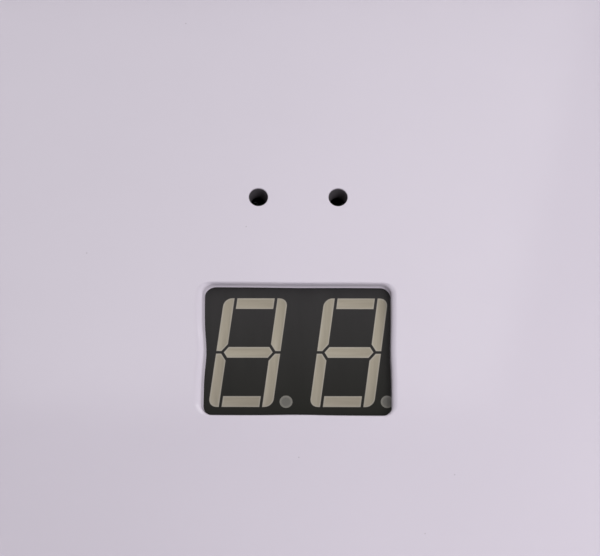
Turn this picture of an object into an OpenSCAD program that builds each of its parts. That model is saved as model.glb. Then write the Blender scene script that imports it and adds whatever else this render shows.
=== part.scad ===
// Two-digit countdown signal head: a white moulded door with a numeric display and two
// indicator lamps, hinged on a shallow wall housing that holds its supply.
// Units are millimetres. The wall is the plane y = 0, the door faces -Y and +Z is up.

/* [Case] */
// Width of the door
case_w = 124; // [118:1:160]
// Height of the door
case_h = 140; // [134:1:180]
// Depth of the rear housing with its wall pads
housing_d = 34; // [33:1:50]
// Depth of the door
door_d = 18; // [17.5:0.5:24]
// Radius of the corners seen from the front
corner_r = 14; // [12:0.5:18]
// Radius along the front edge of the door
front_edge_r = 5; // [3:0.5:7]
// Radius along the back edge of the housing
back_edge_r = 3; // [1:0.5:4]
// Wall of the door
door_wall = 1.5; // [1.4:0.1:2.4]
// Wall of the housing
housing_wall = 2.5; // [2:0.1:3]
// Step from the side of the door in to the side of the housing
housing_inset = 1; // [0.5:0.1:2]
// Gap between the rims of door and housing
rim_gap = 0.6; // [0.5:0.1:1.2]

/* [Hinge] */
// Radius of the hinge knuckles
knuckle_r = 3.5; // [3:0.1:4.5]
// Length of the knuckle on the door
door_knuckle_l = 12; // [8:1:20]
// Length of each knuckle on the housing
housing_knuckle_l = 7; // [5:1:12]
// Distance from the end of the case to the middle of a hinge
hinge_from_end = 28; // [26:1:40]
// Space between neighbouring knuckles
knuckle_gap = 0.3; // [0.2:0.05:0.6]
// Space between the housing knuckles and the side of the door
hinge_side_gap = 0.4; // [0.4:0.1:1]
// Diameter of the hinge pins
pin_d = 3; // [2:0.1:4]
// Diameter of a pin head
pin_head_d = 5; // [4.6:0.1:6]
// Height of a pin head
pin_head_h = 1.2; // [0.8:0.1:2]
// Running clearance of the door knuckle round its pin
pin_clear = 0.05; // [0.02:0.01:0.1]
// Clearance of the housing knuckles round the pin that they hold
pin_seat_clear = 0.02; // [0.01:0.01:0.05]

/* [Door seal] */
// Width of the channel that holds the gasket
channel_w = 3; // [2.6:0.1:4]
// Depth of the channel
channel_d = 3.5; // [3:0.1:5]
// Thickness of the rib inside the channel
channel_rib = 1.5; // [1:0.1:2.5]
// Thickness of the ledge under the channel
ledge_t = 2; // [1.5:0.1:3]
// Height of the gasket
gasket_h = 2.6; // [2:0.1:2.8]
// Space at each side of the gasket
gasket_side_gap = 0.1; // [0.05:0.05:0.2]
// Thickness of the sealing rib on the door
tongue_w = 1.4; // [1:0.1:1.6]
// Space between the sealing rib and the gasket
tongue_gap = 0.3; // [0.2:0.05:0.5]

/* [Display] */
// Distance from the middle of the door down to the middle of the window
display_drop = 10; // [6:1:18]
// Width of the display module
module_w = 25; // [24:0.5:30]
// Height of the display module
module_h = 19; // [18:0.5:22]
// Depth of the display module
module_d = 8; // [7:0.5:10]
// How far the door covers the edge of the module
window_lip = 1; // [0.5:0.1:1.2]
// Corner radius of the window
window_corner_r = 1.1; // [0.5:0.1:2]
// Rounding along the front edge of the window
window_edge_r = 0.5; // [0.3:0.1:1]
// Height of a digit
digit_h = 14.2; // [12:0.1:15]
// Width of a digit
digit_w = 8; // [7:0.1:8.4]
// Distance between the two digits
digit_pitch = 12.5; // [11.8:0.1:13]
// Forward lean of the digits in degrees
digit_lean = 7.8; // [0:0.2:10]
// Thickness of the upright segments
upright_w = 1.35; // [1:0.05:1.6]
// Thickness of the level segments
level_w = 1.44; // [1:0.02:1.6]
// Gap between neighbouring segments
segment_gap = 0.3; // [0.2:0.05:0.4]
// Corner radius at the outside of a digit
digit_corner_r = 1.05; // [0.3:0.05:1.2]
// Length of the points of the middle segment
bar_point_l = 0.53; // [0.3:0.01:0.7]
// Distance from the side of the digit to the points of the middle segment
bar_point_in = 0.94; // [0.8:0.02:1.2]
// Diameter of a decimal point
point_d = 1.6; // [1:0.1:1.8]
// Distance from the side of a digit to its decimal point
point_out = 1.54; // [1.3:0.02:1.7]
// Height of a decimal point above the foot of its digit
point_up = 0.7; // [0.6:0.05:1]
// Depth of the light cells behind the segments
cell_d = 3; // [1:0.5:6]
// Number of pins in each of the two pin rows
pins_per_row = 5; // [4:1:9]
// Distance between pins
pin_pitch = 2.54; // [2:0.01:2.54]
// Distance between the pin rows
pin_row_gap = 15.24; // [12:0.01:16]
// Thickness of a pin
lead_d = 0.5; // [0.4:0.05:0.7]
// Length of a pin behind the display board
lead_past = 2.5; // [1:0.5:4]

/* [Indicator lamps] */
// Diameter of the two holes
hole_d = 2.4; // [2.2:0.1:3]
// Distance between the holes
hole_pitch = 10; // [9:0.5:16]
// Height of the holes above the middle of the door
hole_rise = 10; // [9:0.5:20]
// Rounding along the front edge of the holes
hole_edge_r = 0.2; // [0.1:0.05:0.4]
// Outside diameter of a light shield
shield_d = 6; // [5.4:0.1:7]
// Inside diameter of a light shield
shield_bore = 4.4; // [4.2:0.1:4.8]
// Thickness of the front of a light shield
shield_front_t = 1; // [0.8:0.1:1.5]
// Wall of the nose that fills the hole
nose_wall = 0.3; // [0.2:0.05:0.4]
// Depth of the nose behind the front of the door
nose_recess = 0.5; // [0.3:0.1:1]
// Clearance of the nose in its hole
nose_clear = 0.02; // [0.01:0.01:0.05]
// Diameter of a lamp
lamp_d = 3; // [2.5:0.1:3.2]
// Diameter of the lamp's foot
lamp_foot_d = 3.8; // [3.4:0.1:4]
// Height of the lamp's foot
lamp_foot_h = 1; // [0.8:0.1:1.5]
// Height of a lamp above the board
lamp_h = 5.3; // [4:0.1:5.5]
// Distance between the two legs of a lamp
lamp_leg_pitch = 2.54; // [2:0.02:2.54]
// Length of the lamp legs behind the display board
lamp_leg_past = 1.2; // [0.5:0.1:2]

/* [Display board] */
// Width of the display board
board_w = 72; // [64:1:80]
// Height of the display board
board_h = 60; // [60:1:70]
// Thickness of both boards
board_t = 1.6; // [1:0.1:2]
// Distance from the edges of a board to its screws
board_screw_in = 4; // [4:0.5:6]
// Diameter of the screw bosses
boss_d = 7; // [6:0.5:8]
// Diameter of the pilot hole in a boss
pilot_d = 2.5; // [2:0.1:3]
// Depth of a screw in its boss
screw_grip = 5; // [4:0.5:5.5]
// Diameter of the clearance holes in the boards
board_hole_d = 3.2; // [3.1:0.1:3.6]
// Diameter of a screw head
screw_head_d = 5.5; // [5:0.1:6.5]
// Height of a screw head
screw_head_h = 2; // [1.5:0.1:2.4]
// Side clearance of a screw in its pilot hole
screw_clear = 0.05; // [0.02:0.01:0.1]
// Length of the cross recess in a screw head
cross_l = 3.2; // [2.5:0.1:3.6]
// Width of the cross recess in a screw head
cross_w = 0.8; // [0.5:0.1:1.2]
// Depth of the cross recess in a screw head
cross_d = 1; // [0.5:0.1:1.2]
// Wall of the frame that locates the display module
frame_wall = 1.2; // [1:0.1:2]
// Height of the locating frames and collars
frame_h = 4; // [2:0.5:6]
// Clearance inside the locating frames and collars
frame_gap = 0.15; // [0.05:0.05:0.3]
// Thickness of the stiffening ribs across the door
rib_t = 1.2; // [0.8:0.1:1.6]
// Height of the stiffening ribs
rib_h = 5; // [3:0.5:7]
// Distance from the display board to the stiffening ribs
rib_out = 3; // [2:0.5:6]
// Clearance round the legs that pass through the boards
leg_clear = 0.2; // [0.1:0.05:0.3]
// Height of the chips on the display board above the middle
chip_rise = 16; // [14:1:20]
// Distance from the middle to each chip on the display board
chip_out = 15; // [13:1:20]
// Length of a chip
chip_l = 10; // [8:0.5:12]
// Width of a chip
chip_w = 4; // [3.5:0.1:5]
// Height of a chip
chip_h = 1.6; // [1.2:0.1:2]
// Space between a chip and its board
chip_lift = 0.2; // [0.1:0.05:0.3]
// Legs on each side of a chip
chip_legs = 8; // [4:1:8]
// Reach of a chip's legs past its side
chip_leg_out = 1; // [0.6:0.1:1.4]
// Width of a chip's legs
chip_leg_w = 0.42; // [0.3:0.02:0.6]
// Height of a chip's legs
chip_leg_h = 0.8; // [0.5:0.1:1]
// Number of resistors in the row
resistor_count = 8; // [4:1:10]
// Distance between resistors
resistor_pitch = 3.2; // [2.6:0.1:4]
// Length of a resistor
resistor_l = 2; // [1.6:0.1:2.4]
// Width of a resistor
resistor_w = 1.25; // [0.8:0.05:1.6]
// Height of a resistor
resistor_h = 0.5; // [0.4:0.05:0.8]
// Height of the resistor row above the middle
resistor_rise = 3; // [2:0.5:5]
// Diameter of the can capacitor on the display board
can_d = 6.3; // [5:0.1:6.5]
// Height of the can capacitor on the display board
can_h = 5; // [4:0.1:5.4]
// Thickness of the square base under a can
can_base_t = 0.8; // [0.5:0.1:1.2]
// How far the base stands out round its can
can_base_out = 0.2; // [0.1:0.05:0.4]
// Width of the pin header on each board
header_w = 12.5; // [10:0.5:16]
// Depth of the pin header seen from the front
header_t = 6; // [5:0.5:7]
// Height of the pin header above its board
header_h = 5.5; // [4.5:0.1:6]
// Wall of the pin header
header_wall = 0.8; // [0.6:0.1:1.2]
// Pins in a header
header_pins = 4; // [3:1:4]

/* [Latch] */
// Distance from the side of the door to the latch
latch_in = 15; // [15:0.5:18]
// Diameter of the latch flange
latch_flange_d = 13; // [12:0.5:14]
// Thickness of the latch flange
latch_flange_t = 1.6; // [1.4:0.1:2.5]
// Chamfer on the latch flange
latch_chamfer = 0.5; // [0.2:0.1:0.8]
// Diameter of the latch bush
bush_d = 10; // [9.5:0.1:10.5]
// Clearance of the bush in the door and in its nut
bush_clear = 0.05; // [0.02:0.01:0.1]
// Length of the bush behind the front of the door
bush_l = 17; // [15:0.5:19]
// Width of the bush nut across its flats
nut_af = 13; // [12.5:0.5:14]
// Thickness of the bush nut
nut_t = 3.5; // [2.5:0.1:5]
// Height of the pad under the bush nut
latch_pad_h = 1.2; // [0.8:0.1:2]
// Diameter of the latch plug
plug_d = 6; // [5:0.1:6.5]
// Running clearance of the plug in its bush
plug_clear = 0.05; // [0.02:0.01:0.1]
// Diameter of the plug's head
plug_head_d = 8; // [7:0.1:8.4]
// Thickness of the plug's head
plug_head_t = 1; // [0.8:0.1:1.2]
// Space round the plug's head
plug_head_gap = 0.3; // [0.3:0.05:0.5]
// Width of the driver slot
slot_w = 1.2; // [0.8:0.1:1.6]
// Depth of the driver slot
slot_d = 0.8; // [0.4:0.1:0.8]
// Side of the square end of the plug
tang_w = 3.9; // [3.6:0.1:4.2]
// Clearance of the cam on the square end
tang_clear = 0.05; // [0.02:0.01:0.1]
// Space between the ledge and the cam
cam_gap = 0.3; // [0.3:0.1:0.8]
// Thickness of the cam
cam_t = 2; // [1.5:0.1:3]
// Width of the cam's tongue
cam_w = 7; // [5:0.5:8]
// Reach of the cam behind the ledge when turned shut
cam_bite = 2.5; // [1.5:0.5:3]
// Diameter of the cam's hub
cam_hub_d = 10; // [9:0.5:11]
// Outside diameter of the retaining clip
clip_d = 9; // [8:0.5:10]
// Thickness of the retaining clip
clip_t = 1; // [0.6:0.1:1.2]
// Diameter of the cam screw
cam_screw_d = 2.5; // [2:0.1:2.8]
// Length of the cam screw in the plug
cam_screw_l = 6; // [4:0.5:8]
// Diameter of the cam screw's head
cam_screw_head_d = 6.5; // [6.2:0.1:7]
// Height of the cam screw's head
cam_screw_head_h = 2; // [1.5:0.1:2.5]

/* [Supply] */
// Width of the supply board
supply_w = 76; // [70:1:80]
// Height of the supply board
supply_h = 50; // [50:1:52]
// Height of the supply board's middle above the middle of the case
supply_rise = 18; // [17:0.5:18]
// Height of the supply board above the floor of the housing
supply_boss_h = 6; // [6:0.5:8]
// Width of the potted converter
converter_w = 34; // [28:1:36]
// Height of the potted converter
converter_h = 24; // [18:1:26]
// Depth of the potted converter
converter_t = 14; // [10:1:15]
// Corner radius of the potted converter
converter_r = 1.6; // [1:0.1:3]
// Distance from the sides of the supply board to its tall components
supply_side = 8; // [7.5:0.5:9]
// Distance from the ends of the supply board to its tall components
supply_end = 2; // [1:0.5:3]
// Distance from the end of the supply board to the fuse holder
fuse_end = 4; // [3:0.5:6]
// Diameter of the supply capacitor
cap_d = 10; // [8:0.5:12]
// Height of the supply capacitor
cap_h = 12; // [10:0.5:14]
// Number of poles in the terminal block
pole_count = 3; // [2:1:4]
// Distance between the poles
pole_pitch = 5.08; // [5:0.04:5.08]
// Depth of the terminal block along the board
terminal_w = 8.2; // [7.5:0.1:9]
// Height of the terminal block above the board
terminal_h = 10; // [9:0.5:11]
// Width of a wire entry
entry_w = 3.6; // [3:0.1:4]
// Depth of a wire entry
entry_d = 5; // [3:0.5:6]
// Diameter of a terminal screw
terminal_screw_d = 3; // [2.5:0.1:3.4]
// Height of a terminal screw's head
terminal_screw_h = 1.8; // [1:0.1:2]
// Depth of a terminal screw's pit
terminal_pit_d = 3.5; // [2.5:0.5:4]
// Clearance round a terminal screw
terminal_clear = 0.2; // [0.1:0.05:0.3]
// Width of the slot in a terminal screw
terminal_slot_w = 0.8; // [0.5:0.1:1]
// Depth of the slot in a terminal screw
terminal_slot_d = 0.6; // [0.3:0.1:0.9]
// Diameter of the fuse holder
fuse_d = 8.5; // [7:0.5:9]
// Height of the fuse holder
fuse_h = 8; // [6:0.5:9]

/* [Cable gland] */
// Diameter of the gland's thread
gland_d = 12; // [11.5:0.1:12.5]
// Clearance of the gland in its hole and nuts
gland_clear = 0.1; // [0.05:0.01:0.15]
// Width of the gland's hexagon across its flats
gland_af = 16; // [15.5:0.5:17]
// Height of the gland's hexagon
gland_hex_h = 5; // [4:0.5:7]
// Length of the thread that takes the clamping nut
gland_thread_l = 8; // [6:0.5:10]
// Length of the thread inside the housing
gland_inner_l = 7; // [6:0.5:8]
// Bore of the gland body
gland_bore = 7.6; // [7.2:0.1:8]
// Thickness of the gland's lock nut
lock_nut_t = 4; // [3:0.5:5]
// Width of the lock nut across its flats
lock_nut_af = 16; // [15.5:0.5:17]
// Thickness of the end of the clamping nut
clamp_end_t = 2.5; // [2:0.1:4]
// Hole through the end of the clamping nut
clamp_hole_d = 7; // [6.8:0.1:7.5]
// Rounding at the end of the clamping nut
clamp_edge_r = 2; // [1:0.1:2.4]
// Width of the clamping nut across its flats
clamp_af = 16; // [15:0.5:17]
// Diameter to which the corners of the clamping nut are turned
clamp_d = 17.5; // [17:0.1:18]
// Space between the gland's hexagon and its clamping nut
clamp_gap = 0.4; // [0.2:0.1:0.8]
// Cable size that the gland's seal takes
cable_d = 6; // [4:0.1:6.4]
// Clearance of the seal in the gland body
seal_clear = 0.05; // [0.02:0.01:0.1]

/* [Wall mount] */
// Distance between the wall screws across
wall_w = 90; // [88:1:94]
// Distance between the wall screws up and down
wall_h = 104; // [102:1:108]
// Diameter of the wall screw holes
wall_hole_d = 4.5; // [4:0.1:5.5]
// Diameter of the wall pads
pad_d = 13; // [11:0.5:14]
// Height of the wall pads
pad_h = 2; // [1:0.1:3]

/* [Hidden] */
$fn = 48;

// Cuts run this far past the face that they open
over = 0.2;

// Finishes
white = [0.82, 0.80, 0.84];
face_grey = [0.20, 0.20, 0.20];
lens_grey = [0.60, 0.56, 0.51];
clear = [0.80, 0.84, 0.86];
black = [0.06, 0.06, 0.06];
steel = [0.70, 0.71, 0.72];
tin = [0.75, 0.75, 0.74];
board_green = [0.07, 0.30, 0.16];
cream = [0.88, 0.86, 0.78];
terminal_green = [0.10, 0.45, 0.25];

// Planes through the depth of the case
front_y = -(housing_d + rim_gap + door_d);
door_in_y = front_y + door_wall;
door_back_y = front_y + door_d;
rim_y = -housing_d;
floor_y = -(pad_h + housing_wall);
channel_y = rim_y + channel_d;
ledge_y = channel_y + ledge_t;
gasket_y = channel_y - gasket_h;
board_y = door_in_y + module_d;
board_back_y = board_y + board_t;
supply_back_y = floor_y - supply_boss_h;
supply_y = supply_back_y - board_t;

// Outlines seen from the front
door_r = corner_r - door_wall;
house_w = case_w - 2 * housing_inset;
house_h = case_h - 2 * housing_inset;
house_r = corner_r - housing_inset;
seal_in = housing_inset + housing_wall;
window_w = module_w - 2 * window_lip;
window_h = module_h - 2 * window_lip;
display_z = -display_drop;

// Hinge line
hinge_x = -(case_w / 2 + hinge_side_gap + knuckle_r);
hinge_y = rim_y - rim_gap / 2;
hinge_z = case_h / 2 - hinge_from_end;
hinge_half = door_knuckle_l / 2 + knuckle_gap + housing_knuckle_l;

// Latch line
latch_x = case_w / 2 - latch_in;
latch_front_y = front_y - latch_flange_t;
plug_seat_y = latch_front_y + plug_head_t;
bush_end_y = front_y + bush_l;
cam_y = ledge_y + cam_gap;
cam_l = latch_in - seal_in - channel_w - channel_rib + cam_bite;

// Gland line
gland_z = -house_h / 2;
gland_y = (floor_y + ledge_y) / 2;
clamp_z = gland_z - gland_hex_h - clamp_gap;
clamp_l = gland_thread_l - clamp_gap + clamp_end_t;

// Places of the screws in the two boards
display_holes = [for (x = [-1, 1], z = [-1, 1])
    [x * (board_w / 2 - board_screw_in), z * (board_h / 2 - board_screw_in)]];
supply_holes = [for (x = [-1, 1], z = [-1, 1])
    [x * (supply_w / 2 - board_screw_in), supply_rise + z * (supply_h / 2 - board_screw_in)]];
wall_holes = [for (x = [-1, 1], z = [-1, 1]) [x * wall_w / 2, z * wall_h / 2]];
lamp_places = [for (x = [-1, 1]) [x * hole_pitch / 2, hole_rise]];
pin_places = [for (row = [-1, 1], i = [0 : pins_per_row - 1])
    [(i - (pins_per_row - 1) / 2) * pin_pitch, display_z + row * pin_row_gap / 2]];
lamp_legs = [for (p = lamp_places, s = [-1, 1]) [p[0] + s * lamp_leg_pitch / 2, p[1]]];

// Places of the terminal poles along the lower edge of the supply board
terminal_z = supply_rise - supply_h / 2 + terminal_w / 2;
pole_places = [for (i = [0 : pole_count - 1]) [(i - (pole_count - 1) / 2) * pole_pitch, terminal_z]];
terminal_y = supply_y - terminal_h;

// Outlines of one digit, drawn upright about its middle and then leaned
half_w = digit_w / 2;
half_h = digit_h / 2;
bar_half = level_w / 2;
point_side = norm([bar_point_l, bar_half]);
miter_in = bar_point_in - segment_gap * point_side / bar_half;
miter_rise = bar_half / bar_point_l;

function arc(x, y, r, from, to, steps = 6) = [for (i = [0 : steps])
    let (a = from + (to - from) * i / steps) [x + r * cos(a), y + r * sin(a)]];
function flip(points, sx, sy) = [for (p = points) [sx * p[0], sy * p[1]]];
function lean(points) = [for (p = points) [p[0] + p[1] * tan(digit_lean), p[1]]];

upright = concat(
    [[-half_w, segment_gap / 2]],
    [[-half_w + miter_in + segment_gap / 2 / miter_rise, segment_gap / 2]],
    [[-half_w + upright_w, (upright_w - miter_in) * miter_rise]],
    [[-half_w + upright_w, half_h]],
    arc(-half_w + digit_corner_r, half_h - digit_corner_r, digit_corner_r, 90, 180)
);
level_end = half_w - upright_w - segment_gap;
level = [
    [-level_end, half_h - level_w], [level_end, half_h - level_w],
    [level_end, half_h], [-level_end, half_h]
];
bar_end = half_w - bar_point_in;
bar_flat = bar_end - bar_point_l;
bar = [
    [-bar_end, 0], [-bar_flat, -bar_half], [bar_flat, -bar_half],
    [bar_end, 0], [bar_flat, bar_half], [-bar_flat, bar_half]
];
digit = [
    lean(upright), lean(flip(upright, -1, 1)), lean(flip(upright, 1, -1)),
    lean(flip(upright, -1, -1)), lean(level), lean(flip(level, 1, -1)), lean(bar)
];
digit_places = [for (s = [-1, 1]) s * digit_pitch / 2];
point_place = lean([[half_w + point_out, -half_h + point_up]])[0];

// Shapes that repeat

// A front-view outline given depth from y0 back to y1
module plate(y0, y1) {
    translate([0, y1, 0])
        rotate([90, 0, 0])
            linear_extrude(y1 - y0)
                children();
}

// A round bar along the depth at a front-view place
module rod(place, d, y0, y1) {
    plate(y0, y1)
        translate(place)
            circle(d = d);
}

module rounded_rect(w, h, r) {
    square([w - 2 * r, h], center = true);
    square([w, h - 2 * r], center = true);
    for (x = [-1, 1], z = [-1, 1])
        translate([x * (w / 2 - r), z * (h / 2 - r)])
            circle(r);
}

// An outline of the case drawn in by a distance
module case_outline(inset) {
    rounded_rect(case_w - 2 * inset, case_h - 2 * inset, corner_r - inset);
}

module case_ring(inset, t) {
    difference() {
        case_outline(inset);
        case_outline(inset + t);
    }
}

// What is cut from an edge to round it: side is -1 on an outer edge and 1 round an opening
module edge_section(e, side) {
    difference() {
        translate([side > 0 ? -over : -e, -over])
            square(e + over);
        translate([side * e, e])
            circle(e);
    }
}

// Cutter that rounds the front edge of a rounded rectangle whose front lies at y
module edge_cut(w, h, r, e, side, y) {
    for (k = [0 : 3]) {
        along = (k % 2 == 0 ? w : h) - 2 * r;
        out = (k % 2 == 0 ? h : w) / 2;
        translate([0, y, 0])
            rotate([0, 90 * k, 0]) {
                translate([along / 2, 0, out])
                    rotate([0, -90, 0])
                        linear_extrude(along)
                            edge_section(e, side);
                translate([along / 2, 0, out - r])
                    rotate([0, -90, 0])
                        rotate([-90, 0, 0])
                            rotate_extrude(angle = 90)
                                translate([r, 0])
                                    edge_section(e, side);
            }
    }
}

module rounded_block(w, h, r, e, y0, y1) {
    difference() {
        plate(y0, y1)
            rounded_rect(w, h, r);
        edge_cut(w, h, r, e, -1, y0);
    }
}

module hex(af) {
    circle(d = af / cos(30), $fn = 6);
}

// Round parts on the hinge line between two heights
module on_hinge(z0, z1, d) {
    translate([hinge_x, hinge_y, z0])
        cylinder(d = d, h = z1 - z0);
}

// Web that carries a knuckle, from the hinge line to a side wall
module hinge_web(z0, z1, y0, wall_x) {
    translate([hinge_x, y0, z0])
        cube([wall_x - hinge_x, knuckle_r, z1 - z0]);
}

// Heights of the two housing knuckles of the hinge at z
function knuckle_spans(z) = [for (s = [-1, 1])
    let (near = z + s * (door_knuckle_l / 2 + knuckle_gap))
        [min(near, near + s * housing_knuckle_l), max(near, near + s * housing_knuckle_l)]];

// Round parts on the gland line between two heights
module on_gland(z0, z1) {
    translate([0, gland_y, z0])
        linear_extrude(z1 - z0)
            children();
}

// Cross recess cut into a screw head whose outer face is at the place
module cross_recess(place) {
    for (turn = [0, 90])
        translate(place)
            rotate([0, turn, 0])
                cube([cross_l, 2 * cross_d, cross_w], center = true);
}

// Self-cutting screws through a board into bosses, heads on the side that dir points to
module board_screw_set(places, seat_y, dir) {
    for (p = places) {
        difference() {
            rod(p, screw_head_d, min(seat_y, seat_y + dir * screw_head_h),
                max(seat_y, seat_y + dir * screw_head_h));
            cross_recess([p[0], seat_y + dir * screw_head_h, p[1]]);
        }
        far_y = seat_y - dir * (board_t + screw_grip);
        rod(p, pilot_d - 2 * screw_clear, min(seat_y, far_y), max(seat_y, far_y));
    }
}

// Surface-mounted chip standing on a board whose back is at y
module flat_chip(x, z, y) {
    plate(y + chip_lift, y + chip_lift + chip_h)
        translate([x, z])
            square([chip_l, chip_w], center = true);
    pitch = chip_l / chip_legs;
    for (i = [0 : chip_legs - 1], s = [-1, 1])
        plate(y, y + chip_leg_h)
            translate([x + (i - (chip_legs - 1) / 2) * pitch, z + s * (chip_w + chip_leg_out) / 2])
                square([chip_leg_w, chip_leg_out], center = true);
}

// Pin header on a board: dir is the side that it stands on
module pin_header(place, seat_y, dir) {
    top_y = seat_y + dir * header_h;
    in_y = seat_y + dir * header_wall;
    difference() {
        plate(min(seat_y, top_y), max(seat_y, top_y))
            translate(place)
                square([header_t, header_w], center = true);
        plate(min(in_y, top_y + dir * over), max(in_y, top_y + dir * over))
            translate(place)
                square([header_t - 2 * header_wall, header_w - 2 * header_wall], center = true);
    }
    tip_y = top_y - dir * header_wall;
    for (i = [0 : header_pins - 1])
        rod([place[0], place[1] + (i - (header_pins - 1) / 2) * pin_pitch], lead_d,
            min(in_y, tip_y), max(in_y, tip_y));
}

// Can capacitor on a board: dir is the side that it stands on
module can(place, seat_y, dir, d, h) {
    base_y = seat_y + dir * can_base_t;
    top_y = seat_y + dir * h;
    plate(min(seat_y, base_y), max(seat_y, base_y))
        translate(place)
            square(d + 2 * can_base_out, center = true);
    rod(place, d, min(seat_y, top_y), max(seat_y, top_y));
}

// Door

module front_cover() {
    color(white)
        difference() {
            union() {
                difference() {
                    rounded_block(case_w, case_h, corner_r, front_edge_r, front_y, door_back_y);
                    rounded_block(case_w - 2 * door_wall, case_h - 2 * door_wall, door_r,
                        front_edge_r - door_wall, door_in_y, door_back_y + over);
                }
                sealing_rib();
                display_seat();
                lamp_collars();
                door_ribs();
                door_bosses();
                rod([latch_x, 0], latch_flange_d + 2 * latch_pad_h, door_in_y - over,
                    door_in_y + latch_pad_h);
                door_knuckles();
            }
            window_cut();
            lamp_cuts();
            rod([latch_x, 0], bush_d + 2 * bush_clear, front_y - over,
                door_in_y + latch_pad_h + over);
            on_hinge(-case_h, case_h, pin_d + 2 * pin_clear);
        }
}

// Rib inside the door that presses on the gasket
module sealing_rib() {
    plate(door_in_y - over, gasket_y - tongue_gap)
        case_ring(seal_in + (channel_w - tongue_w) / 2, tongue_w);
}

// Frame on the inside of the door that locates the display module
module display_seat() {
    inner = 2 * frame_gap;
    plate(door_in_y - over, door_in_y + frame_h)
        translate([0, display_z])
            difference() {
                square([module_w + inner + 2 * frame_wall, module_h + inner + 2 * frame_wall],
                    center = true);
                square([module_w + inner, module_h + inner], center = true);
            }
}

// Ribs across the inside of the door, above and below the display board
module door_ribs() {
    rib_w = case_w - 2 * (seal_in + channel_w / 2);
    for (s = [-1, 1])
        plate(door_in_y - over, door_in_y + rib_h)
            translate([0, s * (board_h / 2 + rib_out)])
                square([rib_w, rib_t], center = true);
}

module lamp_collars() {
    for (p = lamp_places)
        plate(door_in_y - over, door_in_y + frame_h / 2)
            translate(p)
                difference() {
                    circle(d = shield_d + 2 * frame_gap + 2 * frame_wall);
                    circle(d = shield_d + 2 * frame_gap);
                }
}

module door_bosses() {
    for (p = display_holes)
        difference() {
            rod(p, boss_d, door_in_y - over, board_y);
            rod(p, pilot_d, board_y - screw_grip - over, board_y + over);
        }
}

module door_knuckles() {
    for (s = [-1, 1]) {
        z0 = s * hinge_z - door_knuckle_l / 2;
        z1 = s * hinge_z + door_knuckle_l / 2;
        on_hinge(z0, z1, 2 * knuckle_r);
        hinge_web(z0, z1, door_back_y - knuckle_r, -case_w / 2 + door_wall / 2);
    }
}

module window_cut() {
    translate([0, 0, display_z]) {
        plate(front_y - over, door_in_y + over)
            rounded_rect(window_w, window_h, window_corner_r);
        edge_cut(window_w, window_h, window_corner_r, window_edge_r, 1, front_y);
    }
}

module lamp_cuts() {
    for (p = lamp_places) {
        rod(p, hole_d, front_y - over, door_in_y + over);
        translate([p[0], front_y, p[1]])
            rotate([-90, 0, 0])
                rotate_extrude()
                    translate([hole_d / 2, 0])
                        edge_section(hole_edge_r, 1);
    }
}

// Display module

module digit_cells() {
    for (x = digit_places, outline = digit)
        plate(door_in_y, door_in_y + cell_d)
            translate([x, display_z])
                polygon(outline);
}

module point_cells() {
    for (x = digit_places)
        rod([x + point_place[0], display_z + point_place[1]], point_d, door_in_y, door_in_y + cell_d);
}

module display_shell() {
    color(face_grey)
        difference() {
            plate(door_in_y, board_y)
                translate([0, display_z])
                    square([module_w, module_h], center = true);
            digit_cells();
            point_cells();
        }
}

module display_segments() {
    color(lens_grey)
        digit_cells();
}

module decimal_points() {
    color(lens_grey)
        point_cells();
}

module display_pins() {
    color(tin)
        for (p = pin_places)
            rod(p, lead_d, board_y, board_back_y + lead_past);
}

// Display board

module display_board() {
    color(board_green)
        difference() {
            plate(board_y, board_back_y)
                square([board_w, board_h], center = true);
            for (p = display_holes)
                rod(p, board_hole_d, board_y - over, board_back_y + over);
            for (p = concat(pin_places, lamp_legs))
                rod(p, lead_d + 2 * leg_clear, board_y - over, board_back_y + over);
        }
}

module display_screws() {
    color(steel)
        board_screw_set(display_holes, board_back_y, 1);
}

module indicator_lamp(i) {
    p = lamp_places[i];
    dome_y = board_y - lamp_h + lamp_d / 2;
    color(clear) {
        rod(p, lamp_foot_d, board_y - lamp_foot_h, board_y);
        rod(p, lamp_d, dome_y, board_y);
        translate([p[0], dome_y, p[1]])
            sphere(d = lamp_d);
        for (s = [-1, 1])
            rod([p[0] + s * lamp_leg_pitch / 2, p[1]], lead_d, board_y - lamp_foot_h / 2,
                board_back_y + lamp_leg_past);
    }
}

module indicator_lamp_left() {
    indicator_lamp(0);
}

module indicator_lamp_right() {
    indicator_lamp(1);
}

module light_shields() {
    nose_d = hole_d - 2 * nose_clear;
    color(black)
        for (p = lamp_places)
            difference() {
                union() {
                    rod(p, shield_d, door_in_y, board_y);
                    rod(p, nose_d, front_y + nose_recess, door_in_y + over);
                }
                rod(p, nose_d - 2 * nose_wall, front_y, board_y);
                rod(p, shield_bore, door_in_y + shield_front_t, board_y + over);
            }
}

module controller_chip() {
    color(black)
        flat_chip(-chip_out, chip_rise, board_back_y);
}

module driver_chip() {
    color(black)
        flat_chip(chip_out, chip_rise, board_back_y);
}

module chip_resistors() {
    color(black)
        for (i = [0 : resistor_count - 1])
            plate(board_back_y, board_back_y + resistor_h)
                translate([(i - (resistor_count - 1) / 2) * resistor_pitch, resistor_rise])
                    square([resistor_w, resistor_l], center = true);
}

module can_capacitor() {
    color(tin)
        can([board_w / 2 - board_screw_in - can_d / 2, 0], board_back_y, 1, can_d, can_h);
}

module display_header() {
    color(cream)
        pin_header([-board_w / 2 + board_screw_in + header_t / 2, 0], board_back_y, 1);
}

// Latch

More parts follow.
